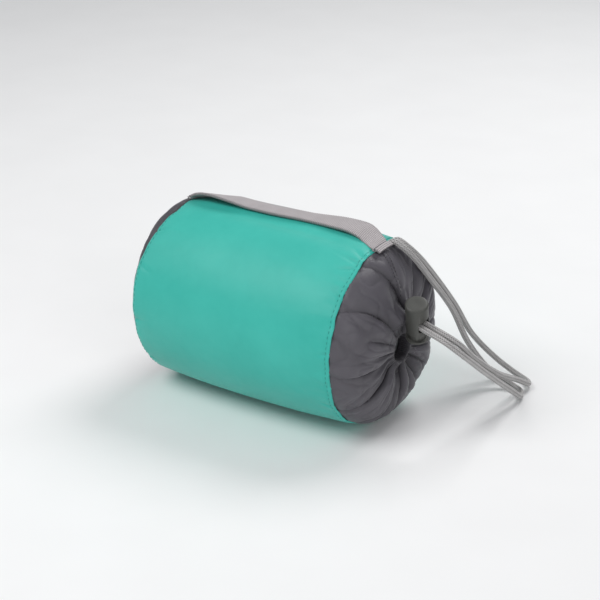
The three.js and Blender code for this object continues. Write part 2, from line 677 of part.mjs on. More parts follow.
let sheetDepth = 0;
for (const sheet of LAYERS) {
  addPiece(sheet.name, spiralSheet(sheet, sheetDepth), sheet.finish);
  sheetDepth += sheet.thickness + CLEARANCE;
}

export default pillow;
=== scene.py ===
# %% [markdown]
# # A camp pillow packed in its stuff sack
#
# The object is a soft roll in a cloth sack: a sea-green tube, a dark grey base and a dark grey
# mouth that a drawcord gathers to a small puckered hole. A webbing strap runs along the top and
# a barrel lock sits on the cord. Cloth looks right when three things are right: the way its
# seams pull on it, the way its surplus folds, and a weave at the right scale. So every piece
# here starts as the flat piece that a sewer would cut, and is then wrapped into its place.
#
# The first cell loads the finished mechanical model, which is the frame that all of this fits.

# %% Load the frame
import json
import math

import bmesh
import bpy
import numpy as np
from mathutils import Matrix, Vector, noise


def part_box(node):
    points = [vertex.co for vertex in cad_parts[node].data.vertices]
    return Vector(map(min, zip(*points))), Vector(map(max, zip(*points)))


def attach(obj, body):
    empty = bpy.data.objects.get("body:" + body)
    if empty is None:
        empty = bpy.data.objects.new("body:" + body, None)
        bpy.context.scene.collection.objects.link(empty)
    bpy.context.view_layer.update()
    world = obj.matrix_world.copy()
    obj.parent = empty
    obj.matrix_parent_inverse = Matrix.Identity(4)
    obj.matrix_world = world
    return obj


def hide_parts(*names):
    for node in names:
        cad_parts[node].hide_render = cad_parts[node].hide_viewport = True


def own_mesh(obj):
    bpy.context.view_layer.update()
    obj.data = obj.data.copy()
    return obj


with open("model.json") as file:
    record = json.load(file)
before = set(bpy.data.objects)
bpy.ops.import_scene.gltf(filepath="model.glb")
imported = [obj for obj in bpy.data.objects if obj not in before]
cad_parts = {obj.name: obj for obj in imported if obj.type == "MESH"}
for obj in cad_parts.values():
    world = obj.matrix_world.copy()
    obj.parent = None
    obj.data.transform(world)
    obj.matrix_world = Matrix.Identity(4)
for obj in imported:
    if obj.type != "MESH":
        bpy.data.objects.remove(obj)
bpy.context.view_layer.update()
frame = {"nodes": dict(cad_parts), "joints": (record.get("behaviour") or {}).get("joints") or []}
MM = 0.001  # everything below is in metres, and a size in millimetres is written as 3 * MM

# %% [markdown]
# The main sizes are read from the frame, so that a change to the mechanical model carries
# through. The tube's own box gives the sack's radius, its axis and its two seams, and the two
# end panels' boxes give the seams' radii.

# %% Sizes from the frame
tube_low, tube_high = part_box("sack_body")
mouth_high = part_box("mouth_panel")[1]
base_low, base_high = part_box("base_panel")
hem_low, hem_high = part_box("drawcord_channel")

sack_radius = tube_high.y
axis_z = tube_high.z - sack_radius
mouth_seam_x, mouth_seam_radius = tube_high.x, mouth_high.y
base_seam_x, base_seam_radius = tube_low.x, base_high.y
hole_y, hole_z = (hem_low.y + hem_high.y) / 2, (hem_low.z + hem_high.z) / 2
print(f"sack radius {sack_radius / MM:.1f} mm")
print(f"seams at {base_seam_x / MM:.1f} and {mouth_seam_x / MM:.1f} mm")

# %% [markdown]
# ## Camera and light
#
# The camera stands in front of the sack's near side, turned towards the mouth and looking down
# on it, with a long lens so that the tube hardly tapers. It could be placed by its position,
# but two angles and a distance are easier to correct.

# %% Camera
AZIMUTH, ELEVATION = math.radians(34.41), math.radians(24)
CAMERA_DISTANCE = 0.5705
CAMERA_TARGET = Vector((0.00577, 0, 0.0335))

towards_camera = Vector((
    math.sin(AZIMUTH) * math.cos(ELEVATION),
    -math.cos(AZIMUTH) * math.cos(ELEVATION),
    math.sin(ELEVATION),
))
camera_data = bpy.data.cameras.new("camera")
camera_data.lens = 108
camera_data.sensor_width = 36
camera = bpy.data.objects.new("camera", camera_data)
camera.location = CAMERA_TARGET + CAMERA_DISTANCE * towards_camera
camera.rotation_euler = (-towards_camera).to_track_quat("-Z", "Y").to_euler()
bpy.context.scene.collection.objects.link(camera)
bpy.context.scene.camera = camera
print("camera at", [round(c, 3) for c in camera.location])

# %% [markdown]
# Thin coated cloth shows its folds by soft, broad highlights, so the lights are large areas
# close to the sack: one high on the left that models the folds, a weaker one on the right that
# opens the shadows, and one behind that draws the strap's and the cord's edges. The colours
# are strong, so the picture keeps them as they are, with the plain view transform.

# %% Lights
bpy.context.scene.view_settings.view_transform = "Standard"


def area_light(name, place, size, watts):
    data = bpy.data.lights.new(name, "AREA")
    data.shape = "DISK"
    data.size = size
    data.energy = watts
    light = bpy.data.objects.new(name, data)
    light.location = place
    light.rotation_euler = (Vector(place) - CAMERA_TARGET).to_track_quat("Z", "Y").to_euler()
    bpy.context.scene.collection.objects.link(light)


area_light("key", (-0.22, -0.42, 0.62), 0.42, 2.9)
area_light("fill", (0.62, -0.35, 0.3), 0.6, 1.3)
area_light("rim", (0.05, 0.42, 0.58), 0.36, 2.3)

world = bpy.data.worlds.new("studio")
world.use_nodes = True
world.node_tree.nodes["Background"].inputs["Color"].default_value = (0.95, 0.97, 1, 1)
world.node_tree.nodes["Background"].inputs["Strength"].default_value = 0.3
bpy.context.scene.world = world
print("lights:", [light.name for light in bpy.data.lights])

# %% [markdown]
# ## Writing materials as formulas
#
# A weave, a braid or a ribbed webbing is a sum of waves, and sums of waves are easier to read
# as formulas than as a long list of nodes. The small class below wraps one socket of a material.
# Arithmetic on it adds the Math nodes that do the sum, and its one method `node` adds any other
# node from its type, its settings and what goes into its sockets.

# %% The wrapped socket
class Wire:
    """A socket in a material's tree. Sums written with it become Math nodes."""

    def __init__(self, tree, socket=None):
        self.tree = tree
        self.socket = socket

    def node(self, kind, settings=None, inputs=None, output=0):
        """Adds a node: first its settings, then what its sockets hold or are linked to."""
        made = self.tree.nodes.new(kind)
        for key, value in (settings or {}).items():
            setattr(made, key, value)
        for key, value in (inputs or {}).items():
            if isinstance(value, Wire):
                self.tree.links.new(value.socket, made.inputs[key])
            else:
                made.inputs[key].default_value = value
        return Wire(self.tree, made.outputs[output])

    def math(self, operation, *values):
        return self.node("ShaderNodeMath", {"operation": operation}, dict(enumerate(values)))

    def __add__(self, other):
        return self.math("ADD", self, other)

    def __radd__(self, other):
        return self.math("ADD", other, self)

    def __sub__(self, other):
        return self.math("SUBTRACT", self, other)

    def __rsub__(self, other):
        return self.math("SUBTRACT", other, self)

    def __mul__(self, other):
        return self.math("MULTIPLY", self, other)

    def __rmul__(self, other):
        return self.math("MULTIPLY", other, self)

    def __truediv__(self, other):
        return self.math("DIVIDE", self, other)

    def wave(self):
        """A sine, with one full turn for each 1 of the value."""
        return self.math("SINE", self * math.tau)


# %% [markdown]
# Every finish has the same skeleton: a Principled shader whose colour, roughness and normal
# vary, and whose other values are the same all over. `Finish` below makes that skeleton, and
# gives three things to draw with: the piece's own flat coordinates in millimetres, which a
# weave follows; its place in space, which stains and soft creases follow; and the fold value
# noted on the mesh when the cloth was folded, with which shade is painted into the folds.

# %% The skeleton of a finish
class Finish:
    """A material under construction, with the coordinates that its patterns are drawn on."""

    def __init__(self, name, constants):
        self.material = bpy.data.materials.new(name)
        self.material.use_nodes = True
        tree = self.material.node_tree
        self.shader = tree.nodes["Principled BSDF"]
        for key, value in constants.items():
            self.shader.inputs[key].default_value = value
        self.start = Wire(tree)
        flat = self.start.node("ShaderNodeTexCoord", output="UV")
        self.along = self.start.node("ShaderNodeSeparateXYZ", inputs={0: flat}, output=0)
        self.across = self.start.node("ShaderNodeSeparateXYZ", inputs={0: flat}, output=1)
        self.place = self.start.node("ShaderNodeTexCoord", output="Object")
        self.fold = self.start.node("ShaderNodeAttribute", {"attribute_name": "fold"}, output="Fac")

    def blotches(self, size, detail=2.0):
        """Soft noise from 0 to 1, with features of about that size in metres."""
        settings = {"Vector": self.place, "Scale": 1 / size, "Detail": detail}
        return self.start.node("ShaderNodeTexNoise", inputs=settings)

    def mix(self, share, first, second):
        """A colour between two others."""
        inputs = {0: share, 6: first, 7: second}
        return self.start.node("ShaderNodeMix", {"data_type": "RGBA"}, inputs, output=2)

    def bump(self, height, distance, strength=1.0, under=None):
        """A normal from a height in shares of a distance in metres."""
        inputs = {"Height": height, "Distance": distance, "Strength": strength}
        if under:
            inputs["Normal"] = under
        return self.start.node("ShaderNodeBump", inputs=inputs)

    def paint(self, varying):
        """Links what varies over the surface to the shader, and returns the material."""
        for key, value in varying.items():
            self.start.tree.links.new(value.socket, self.shader.inputs[key])
        return self.material


def colour(red, green, blue):
    return (red, green, blue, 1.0)


# %% [markdown]
# ## The stage
#
# A plain pale floor takes the sack's soft shadow. It has a trace of mottling, as painted board
# has.

# %% Floor
floor_finish = Finish("floor_paint", {"Roughness": 0.85})
floor_mottle = floor_finish.blotches(0.03)
floor_paint = floor_finish.mix(floor_mottle, colour(0.86, 0.86, 0.86), colour(0.9, 0.9, 0.9))
floor_finish.paint({"Base Color": floor_paint})
floor_mesh = bpy.data.meshes.new("floor")
floor_shape = bmesh.new()
bmesh.ops.create_grid(floor_shape, x_segments=1, y_segments=1, size=4)
floor_shape.to_mesh(floor_mesh)
floor_shape.free()
floor_mesh.materials.append(floor_finish.material)
floor = bpy.data.objects.new("floor", floor_mesh)
bpy.context.scene.collection.objects.link(floor)
print("floor made")

# %% [markdown]
# ## One way to make every soft piece
#
# A piece of cloth, a strip of webbing and the sleeve of a cord all start flat. So one helper
# makes them: it takes a flat grid, keeps its flat coordinates in millimetres as the UV map that
# the weave will follow, moves each point to where a function of the piece says, and closes the
# edges that then meet. The function may also return how deep in a fold the point lies, which
# the cloth's finish turns into painted shade.

# %% Wrapping a flat grid
def add_piece(name, shape, material, body):
    """Turns a bmesh into a smooth object that rides on a body."""
    mesh = bpy.data.meshes.new(name)
    shape.to_mesh(mesh)
    shape.free()
    mesh.materials.append(material)
    mesh.polygons.foreach_set("use_smooth", [True] * len(mesh.polygons))
    piece = bpy.data.objects.new(name, mesh)
    bpy.context.scene.collection.objects.link(piece)
    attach(piece, body)
    return piece


def wrap(name, steps, size, place, material, body="sack", outward=None, merge=0.01 * MM):
    """A flat grid of steps, size in metres, with each point moved to place(share, share)."""
    shape = bmesh.new()
    bmesh.ops.create_grid(shape, x_segments=steps[0], y_segments=steps[1], size=0.5, calc_uvs=True)
    flat = shape.loops.layers.uv.verify()
    fold = shape.verts.layers.float.new("fold")
    for face in shape.faces:
        for corner in face.loops:
            share = corner.vert.co
            corner[flat].uv = ((share.x + 0.5) * size[0] / MM, (share.y + 0.5) * size[1] / MM)
    for vertex in shape.verts:
        made = place(vertex.co.x + 0.5, vertex.co.y + 0.5)
        vertex.co, vertex[fold] = made if isinstance(made, tuple) else (made, 0.0)
    bmesh.ops.remove_doubles(shape, verts=shape.verts, dist=merge)
    bmesh.ops.recalc_face_normals(shape, faces=shape.faces)
    if outward:
        facing = sum(face.normal.dot(outward(face.calc_center_median())) for face in shape.faces)
        if facing < 0:
            bmesh.ops.reverse_faces(shape, faces=shape.faces)
    print(f"{name}: {len(shape.faces)} faces")
    return add_piece(name, shape, material, body)


def thicken(piece, thickness):
    """Gives a sheet its thickness, inwards from the side that shows."""
    solid = piece.modifiers.new("thickness", "SOLIDIFY")
    solid.thickness = thickness
    solid.offset = -1


# %% [markdown]
# A cord or a coil of wire is such a grid too: one edge of it follows the cord, and the other
# goes round it. Its path is a smooth curve through given points. The curve
# is the centripetal kind, which never overshoots at a tight fold. Along it a frame is carried
# that doesn't twist, so that the braid runs straight.

# %% A path and the frame it carries
def smooth_path(points, per_span=24):
    """Points on a centripetal Catmull-Rom curve through the given points."""
    points = [Vector(p) for p in points]
    ends = [2 * points[0] - points[1], *points, 2 * points[-1] - points[-2]]
    path = []
    for a, b, c, d in zip(ends, ends[1:], ends[2:], ends[3:]):
        t1 = math.sqrt((b - a).length)
        t2 = t1 + math.sqrt((c - b).length)
        t3 = t2 + math.sqrt((d - c).length)
        for i in range(per_span):
            t = t1 + (t2 - t1) * i / per_span
            ab = a.lerp(b, t / t1)
            bc = b.lerp(c, (t - t1) / (t2 - t1))
            cd = c.lerp(d, (t - t2) / (t3 - t2))
            abc = ab.lerp(bc, t / t2)
            bcd = bc.lerp(cd, (t - t1) / (t3 - t1))
            path.append(abc.lerp(bcd, (t - t1) / (t2 - t1)))
    return [*path, points[-1]]


def spaced(path, count):
    """The same path with count points at equal distances along it, and its length."""
    line = np.array(path)
    run = np.concatenate([[0], np.cumsum(np.linalg.norm(np.diff(line, axis=0), axis=1))])
    even = np.linspace(0, run[-1], count)
    columns = [np.interp(even, run, line[:, k]) for k in range(3)]
    return [Vector(p) for p in np.stack(columns, 1)], run[-1]


def carried_frames(points):
    """For each point, two directions across the path that don't twist along it."""
    forward = (points[1] - points[0]).normalized()
    side = forward.orthogonal().normalized()
    frames = []
    for i in range(len(points)):
        ahead = (points[min(i + 1, len(points) - 1)] - points[max(i - 1, 0)]).normalized()
        side = (forward.rotation_difference(ahead) @ side).normalized()
        side = (side - side.dot(ahead) * ahead).normalized()
        forward = ahead
        frames.append((side, ahead.cross(side)))
    return frames


def sleeve(name, points, radius, sides, material, body, relief=None):
    """A tube round a path, closed at both ends. relief(distance, turn) is added to its radius."""
    points, length = spaced(points, len(points))
    frames = carried_frames(points)
    last = len(points) - 1

    def place(share, turn):
        i = round(share * last)
        side, up = frames[i]
        angle = math.tau * turn
        out = radius + (relief(share * length, turn) if relief else 0)
        return points[i] + out * (math.cos(angle) * side + math.sin(angle) * up)

    piece = wrap(name, (last, sides), (length, math.tau * radius), place, material, body)
    shape = bmesh.new()
    shape.from_mesh(piece.data)
    bmesh.ops.holes_fill(shape, edges=[e for e in shape.edges if e.is_boundary], sides=0)
    bmesh.ops.recalc_face_normals(shape, faces=shape.faces)
    shape.to_mesh(piece.data)
    shape.free()
    piece.data.polygons.foreach_set("use_smooth", [True] * len(piece.data.polygons))
    return piece, length


# %% [markdown]
# ## The drawcord
#
# One braided cord, just under 2 mm thick. Both its ends are sewn down on the mouth seam beside
# the strap. From there each half drops over the gathers to the ground, folds back on itself,
# climbs through the barrel lock and goes into the hem, where it runs round the hole. The
# points below are the cord's centre line, in metres. The first and last of them lie inside the
# mouth seam, where the thread holds the cord's two ends under the tube's cloth.

# %% The cord's route
CORD_ROUTE = [
    (0.0346, 0.0040, 0.0568),
    (0.0359, 0.0041, 0.0584),
    (0.0376, 0.0043, 0.0594),
    (0.0396, 0.0051, 0.0581),
    (0.0422, 0.0082, 0.0539),
    (0.0441, 0.0150, 0.0452),
    (0.0460, 0.0266, 0.0309),
    (0.0489, 0.0332, 0.0170),
    (0.0542, 0.0400, 0.0054),
    (0.0600, 0.0420, 0.0020),
    (0.0642, 0.0408, 0.0012),
    (0.0666, 0.0368, 0.0015),
    (0.0668, 0.0290, 0.0070),
    (0.0663, 0.0125, 0.0197),
    (0.0662, 0.0035, 0.0269),
    (0.0652, -0.0019, 0.0316),
    (0.0614, -0.0049, 0.0356),
    (0.0536, -0.0040, 0.0373),
    (0.0469, -0.0032, 0.0388),
    (0.0449, -0.0032, 0.0387),
    (0.0431, -0.0033, 0.0376),
    (0.0421, -0.0035, 0.0359),
    (0.0419, -0.0045, 0.0327),
    (0.0419, -0.0057, 0.0278),
    (0.0419, -0.0042, 0.0236),
    (0.0419, -0.0002, 0.0217),
    (0.0419, 0.0040, 0.0236),
    (0.0419, 0.0054, 0.0278),
    (0.0419, 0.0038, 0.0322),
    (0.0419, 0.0003, 0.0360),
    (0.0421, -0.0007, 0.0376),
    (0.0431, -0.0011, 0.0389),
    (0.0449, -0.0012, 0.0395),
    (0.0473, -0.0013, 0.0394),
    (0.0540, -0.0021, 0.0380),
    (0.0617, -0.0029, 0.0364),
    (0.0642, -0.0008, 0.0339),
    (0.0652, 0.0055, 0.0278),
    (0.0650, 0.0235, 0.0145),
    (0.0639, 0.0396, 0.0054),
    (0.0651, 0.0448, 0.0022),
    (0.0624, 0.0486, 0.0012),
    (0.0578, 0.0502, 0.0017),
    (0.0523, 0.0468, 0.0069),
    (0.0473, 0.0385, 0.0177),
    (0.0455, 0.0290, 0.0315),
    (0.0435, 0.0173, 0.0461),
    (0.0420, 0.0110, 0.0535),
    (0.0391, 0.0072, 0.0582),
    (0.0375, 0.0066, 0.0591),
    (0.0359, 0.0063, 0.0582),
    (0.0346, 0.0062, 0.0566),
]
CORD_DIAMETER = 1.9 * MM
print(f"the cord goes through {len(CORD_ROUTE)} points")

# %% [markdown]
# The braid could be left to a bump in the material, but the cord's outline shows it, so it is a
# real relief on the mesh: six columns of slanting stitches, which lean one way and the other
# in turn.

# %% Braid
BRAID_COLUMNS = 6
BRAID_PITCH = 0.66 * MM
BRAID_SLANT = 0.9
BRAID_RELIEF = 0.06 * MM


def braid(distance, turn):
    column = turn * BRAID_COLUMNS % 1
    lean = abs(column - 0.5) * 2
    rows = math.sin(math.tau * (distance / BRAID_PITCH + BRAID_SLANT * lean))
    groove = 1 - (2 * abs(column - 0.5)) ** 4
    return BRAID_RELIEF * (0.6 * rows + 0.8 * groove - 0.6)


print(f"braid of {BRAID_COLUMNS} columns, {BRAID_PITCH / MM:.2f} mm to a stitch")

# %% [markdown]
# The cord is matt grey polyester. The braid's formula is written once more with wires, where it
# paints shade into the gaps between the stitches and light on their rows, so that this painted
# light and shade follow the shape. The yarns that make up a stitch are too fine for the mesh,
# and are a bump.

# %% The cord's finish
YARN_PITCH = 0.11  # millimetres
cord_constants = {"Roughness": 0.75, "Sheen Weight": 0.25, "Specular IOR Level": 0.3}
cord_finish = Finish("braided_cord", cord_constants)
cord_columns = cord_finish.across * (BRAID_COLUMNS / (math.pi * CORD_DIAMETER / MM))
in_column = cord_columns.math("FRACT", cord_columns)
lean = (in_column - 0.5).math("ABSOLUTE", in_column - 0.5) * 2
stitch = (cord_finish.along / (BRAID_PITCH / MM) + lean * BRAID_SLANT).wave()
gap = lean.math("POWER", lean, 4.0)
# painted light on the stitch rows and painted shade in the gaps, with blotches of the cord's own tone
braid_light_shade_and_tone = stitch * 0.42 - gap * 0.6 + cord_finish.blotches(0.004) * 0.25 + 0.6
cord_finish.paint({
    "Base Color": cord_finish.mix(braid_light_shade_and_tone, colour(0.1, 0.096, 0.096), colour(0.58, 0.565, 0.56)),
    "Normal": cord_finish.bump((cord_finish.along / YARN_PITCH + lean).wave(), 0.02 * MM, 0.5),
})
print("finish:", cord_finish.material.name)

# %% [markdown]
# The cord could hang by a simulation, but its loops are held by the lock and lie as they were
# left, so it is a sleeve round its chosen route, with the braid as its relief.

# %% Cord
cord_points = smooth_path(CORD_ROUTE, per_span=38)
drawcord, cord_length = sleeve(
    "braided_drawcord", cord_points, CORD_DIAMETER / 2, 24, cord_finish.material, "sack", braid
)
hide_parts("drawcord")
print(f"cord: {cord_length / MM:.0f} mm long, {CORD_DIAMETER / MM:.1f} mm thick")

# %% [markdown]
# ## The barrel lock
#
# The lock has three small parts, which are made in a frame of their own: one axis along the two
# strands, and one up the barrel. The joints of the mechanical model name both directions. The
# barrel and the plunger are turned from profiles, and the slot for the cord is cut through both.

# %% The lock's frame
joints = {joint["name"]: joint for joint in frame["joints"]}
LOCK_LENGTH = 11.2 * MM
barrel_low, barrel_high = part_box("lock_barrel")
up_barrel = Vector(joints["plunger_press"]["axis"]).normalized()
along_strands = Vector(joints["lock_slide"]["axis"]).normalized()
across_barrel = up_barrel.cross(along_strands).normalized()
lock_origin = (barrel_low + barrel_high) / 2 - up_barrel * LOCK_LENGTH / 2
lock_axes = Matrix((along_strands, across_barrel, up_barrel)).transposed()
lock_matrix = Matrix.Translation(lock_origin) @ lock_axes.to_4x4()
print("lock's open end at", [round(c / MM, 1) for c in lock_origin], "mm")

# %% [markdown]
# A turned part is a line of points, each a height and a radius, that is spun once round the
# axis. Its slot is a long block with rounded corners, taken away by a Boolean modifier. A small
# bevel then rounds all the edges, as a mould does, and the result is kept as a plain mesh.

# %% Turning and slotting
SLOT_HALF_WIDTH = 2.35 * MM
SLOT_CORNER = 1 * MM
SLOT_LENGTH = 20 * MM  # right through the lock
TURNED_STEPS = 72
MOULDED_EDGE = 0.14 * MM


def cord_slot(bottom, top):
    """A long block with rounded corners, between two heights."""
    shape = bmesh.new()
    bmesh.ops.create_cube(shape, size=1)
    size = (SLOT_LENGTH, 2 * SLOT_HALF_WIDTH, top - bottom)
    bmesh.ops.scale(shape, vec=size, verts=shape.verts)
    bmesh.ops.translate(shape, vec=(0, 0, (top + bottom) / 2), verts=shape.verts)
    lengthwise = [e for e in shape.edges if abs(e.verts[0].co.x - e.verts[1].co.x) > SLOT_CORNER]
    bmesh.ops.bevel(
        shape, geom=lengthwise, offset=SLOT_CORNER, segments=7, profile=0.5, affect="EDGES", material=-1,
    )
    mesh = bpy.data.meshes.new("slot")
    shape.to_mesh(mesh)
    shape.free()
    cutter = bpy.data.objects.new("slot", mesh)
    bpy.context.scene.collection.objects.link(cutter)
    return cutter


def turned(name, profile, slot_heights, material, body):
    """A part of the lock: (height, radius) points in millimetres, spun and then slotted."""
    shape = bmesh.new()
    line = [shape.verts.new((radius * MM, 0, height * MM)) for height, radius in profile]
    edges = [shape.edges.new(pair) for pair in zip(line, line[1:])]
    bmesh.ops.spin(
        shape, geom=line + edges, cent=(0, 0, 0), axis=(0, 0, 1), angle=math.tau,
        steps=TURNED_STEPS, use_merge=True,
    )
    bmesh.ops.remove_doubles(shape, verts=shape.verts, dist=0.002 * MM)
    bmesh.ops.recalc_face_normals(shape, faces=shape.faces)
    piece = add_piece(name, shape, material, body)
    cutter = cord_slot(*slot_heights)
    cut = piece.modifiers.new("cord slot", "BOOLEAN")
    cut.object = cutter
    cut.solver = "EXACT"
    soften = piece.modifiers.new("moulded edges", "BEVEL")
    soften.width = MOULDED_EDGE
    soften.segments = 3
    soften.limit_method = "ANGLE"
    soften.angle_limit = math.radians(35)
    bpy.context.view_layer.update()
    evaluated = piece.evaluated_get(bpy.context.evaluated_depsgraph_get())
    kept = bpy.data.meshes.new_from_object(evaluated)
    kept.transform(lock_matrix)
    kept.set_sharp_from_angle(angle=math.radians(40))
    piece.modifiers.clear()
    piece.data = kept
    bpy.data.objects.remove(cutter)
    print(f"{name}: {len(kept.polygons)} faces")
    return piece


# %% [markdown]
# Moulded plastic isn't one flat grey: it has a fine grain from the mould, soft patches where it
# has been handled, and paler edges where it rubs. The edges are found by the pointiness of the
# shape, which also darkens the inner corners with painted shade.

# %% Moulded plastic
def moulded(name, dark, pale, roughness):
    finish = Finish(name, {"Specular IOR Level": 0.5})
    grain = finish.blotches(0.00035, detail=3.0)
    handled = finish.blotches(0.004)
    edge = finish.start.node("ShaderNodeNewGeometry", output="Pointiness")
    # paler on outer edges, as rubbed plastic is, and darker in inner corners, which is painted shade
    edge_wear_and_corner_shade = (edge - 0.5) * 5.0
    return finish.paint({
        "Base Color": finish.mix(handled * 0.5 + grain * 0.25 + edge_wear_and_corner_shade, dark, pale),
        "Roughness": grain * 0.14 + handled * 0.12 + roughness,
        "Normal": finish.bump(grain, 0.012 * MM, 0.5),
    })


lock_plastic = moulded("lock_acetal", colour(0.033, 0.034, 0.03), colour(0.085, 0.086, 0.078), 0.36)
print("finish:", lock_plastic.name)

# %% [markdown]
# The barrel is a cup that stands upside down on the strands. Its outside widens a little
# towards the top, as a moulded part does to leave its mould, the top's edge is a quarter of a
# circle, and the top is slightly dished. Heights and radii are in millimetres.

# %% Barrel
BARREL_RADIUS = 3.6
BARREL_FOOT_RADIUS = 3.45
BARREL_BORE = 2.95
BARREL_CEILING = 10
BARREL_DISH = [(11.16, 1.6), (11.1, 0)]
BARREL_SLOT = (1.55 * MM, 6.1 * MM)
TOP_ROUNDING = 0.75
TOP_STEPS = 6

top_arc = []
for i in range(TOP_STEPS + 1):
    angle = i * math.pi / (2 * TOP_STEPS)
    height = LOCK_LENGTH / MM - TOP_ROUNDING * (1 - math.sin(angle))
    top_arc.append((height, BARREL_RADIUS - TOP_ROUNDING * (1 - math.cos(angle))))
barrel_profile = [
    (0, BARREL_BORE),
    (0, BARREL_FOOT_RADIUS),
    *top_arc,
    *BARREL_DISH,
    (BARREL_CEILING, 0),
    (BARREL_CEILING, BARREL_BORE),
    (0, BARREL_BORE),
]
barrel = turned("barrel", barrel_profile, BARREL_SLOT, lock_plastic, "lock")
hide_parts("lock_barrel")

# %% [markdown]
# The plunger is a solid pin with a head below the barrel, which a thumb presses. Its own slot
# lies lower than the barrel's until it is pressed, which is what grips the cord.

# %% Plunger
PLUNGER_RADIUS = 2.75
PLUNGER_TOP = 5.5
PLUNGER_SLOT = (-0.65 * MM, 4.6 * MM)
HEAD_RADIUS = 3.6
HEAD_LOW, HEAD_HIGH = -3.5, -2.5
HEAD_CHAMFER = 0.3

plunger_profile = [
    (HEAD_LOW, 0),
    (HEAD_LOW, HEAD_RADIUS - HEAD_CHAMFER),
    (HEAD_LOW + HEAD_CHAMFER, HEAD_RADIUS),
    (HEAD_HIGH, HEAD_RADIUS),
    (HEAD_HIGH, PLUNGER_RADIUS),
    (PLUNGER_TOP, PLUNGER_RADIUS),
    (PLUNGER_TOP, 0),
]
plunger = turned("plunger", plunger_profile, PLUNGER_SLOT, lock_plastic, "plunger")
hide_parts("lock_plunger")

# %% [markdown]
# The spring is a sleeve round a helix, between the plunger and the barrel's ceiling.

# %% Spring
SPRING_RADIUS = 2.05 * MM
SPRING_WIRE_RADIUS = 0.25 * MM
SPRING_LOW, SPRING_HIGH = 6.05 * MM, 9.45 * MM
SPRING_TURNS = 4
COIL_STEPS = 24

steel_finish = Finish("spring_wire", {"Metallic": 1.0})
drawn = (steel_finish.across * 9.0).wave()
steel_patches = steel_finish.blotches(0.002)
steel_finish.paint({
    "Base Color": steel_finish.mix(steel_patches, colour(0.42, 0.43, 0.44), colour(0.64, 0.65, 0.66)),
    "Roughness": drawn * 0.06 + 0.34,
})
coil = []
for i in range(SPRING_TURNS * COIL_STEPS + 1):
    angle = math.tau * i / COIL_STEPS
    height = SPRING_LOW + (SPRING_HIGH - SPRING_LOW) * i / (SPRING_TURNS * COIL_STEPS)
    point = Vector((SPRING_RADIUS * math.cos(angle), SPRING_RADIUS * math.sin(angle), height))
    coil.append(lock_matrix @ point)
spring, wire_length = sleeve("spring", coil, SPRING_WIRE_RADIUS, 10, steel_finish.material, "lock")
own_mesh(spring)
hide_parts("lock_spring")
print(f"spring wound from {wire_length / MM:.0f} mm of wire")

# %% [markdown]
# Both the cord's ends go into the sack.

# %% [markdown]
# ## Cloth finishes
#
# The sack is sewn from thin nylon with a coating on its inside. It has a plain weave that only
# shows close up, a soft satin shine, and faint creases from being packed and handled. In the
# depth of a fold the colour is darkened, which is painted shade, and the cloth is rougher, so
# its shine is gone.

# %% Woven nylon
WEAVE_PITCH = 0.42  # millimetres, for one thread over and one under


def nylon(name, lit, deep, roughness):
    constants = {"Sheen Weight": 0.12, "Sheen Roughness": 0.4, "Specular IOR Level": 0.45}
    finish = Finish(name, constants)
    threads = (finish.along / WEAVE_PITCH).wave() * (finish.across / WEAVE_PITCH).wave()
    faded = finish.blotches(0.018) * 0.5 + finish.blotches(0.0035) * 0.2 - 0.2
    # the fold value paints shade into the folds; the blotches and the weave are the cloth's own tone
    shade = faded + finish.fold * 0.75 + threads * 0.04
    handling = finish.bump(finish.blotches(0.007, detail=3.0), 0.35 * MM, 0.55)
    return finish.paint({
        "Base Color": finish.mix(shade, lit, deep),
        "Roughness": finish.blotches(0.012) * 0.12 + finish.fold * 0.2 + roughness,
        "Normal": finish.bump(threads, 0.02 * MM, 0.6, under=handling),
    })


# lit is each cloth's own colour, and deep the darker one that the blotches and the painted shade of the
# folds mix in
teal_cloth = nylon("teal_nylon", colour(0.045, 0.5, 0.42), colour(0.0, 0.33, 0.27), 0.42)
grey_cloth = nylon("grey_nylon", colour(0.105, 0.098, 0.115), colour(0.016, 0.015, 0.019), 0.34)
print("finishes:", teal_cloth.name, grey_cloth.name)

# %% [markdown]
# ## Helpers for round pieces
#
# Nearly every piece of cloth lies round the sack's axis, so its place is told as a distance
# along the axis, a distance out from it, and a part of a turn from the top. Whatever would go
# below the ground is bent up on to it.

# %% Helpers for round pieces
def bezier(points, share):
    """A point on the Bezier curve of those control points."""
    points = [Vector(p) for p in points]
    while len(points) > 1:
        points = [a.lerp(b, share) for a, b in zip(points, points[1:])]
    return points[0]


def around(x, radius, turn, centre_y=0.0, centre_z=axis_z):
    """A point beside the sack's axis. turn counts full turns from the top, the near side first."""
    angle = math.tau * turn
    return Vector((x, centre_y - radius * math.sin(angle), centre_z + radius * math.cos(angle)))


def resting(point, gap=0.2 * MM, soft=0.5 * MM):
    """The point, kept above the ground with a soft bend where the cloth meets it."""
    above = point.z - gap
    point.z = gap + (above + math.hypot(above, soft)) / 2
    return point


def ripple(point, x_size, size, seed=0.0):
    """Noise from -1 to 1, longer along the sack than round it."""
    return noise.noise(Vector((point.x / x_size + seed, point.y / size, point.z / size)))


def short_turn(turn):
    """A part of a turn, from -0.5 to 0.5."""
    return (turn + 0.5) % 1 - 0.5


def from_axis(point):
    return Vector((0, point.y, point.z - axis_z))


def forwards(_point):
    return Vector((1, 0, 0))


def backwards(_point):
    return Vector((-1, 0, 0))


# %% [markdown]
# ## The tube
#
# The tube is a rectangle of cloth, sewn round the roll and stuffed tight, so it shows few folds
# of its own. Its outline is two curves that meet: a short round shoulder at the base, and a
# long shallow swell from there to the mouth seam.

# %% The tube's outline
BASE_EDGE_X = base_seam_x + 1.4 * MM  # the tube's edge, which the base panel bulges past
BASE_EDGE_RADIUS = base_seam_radius + 0.7 * MM
SHOULDER_LENGTH = 3 * MM
SHOULDER_RADIUS = 29.8 * MM

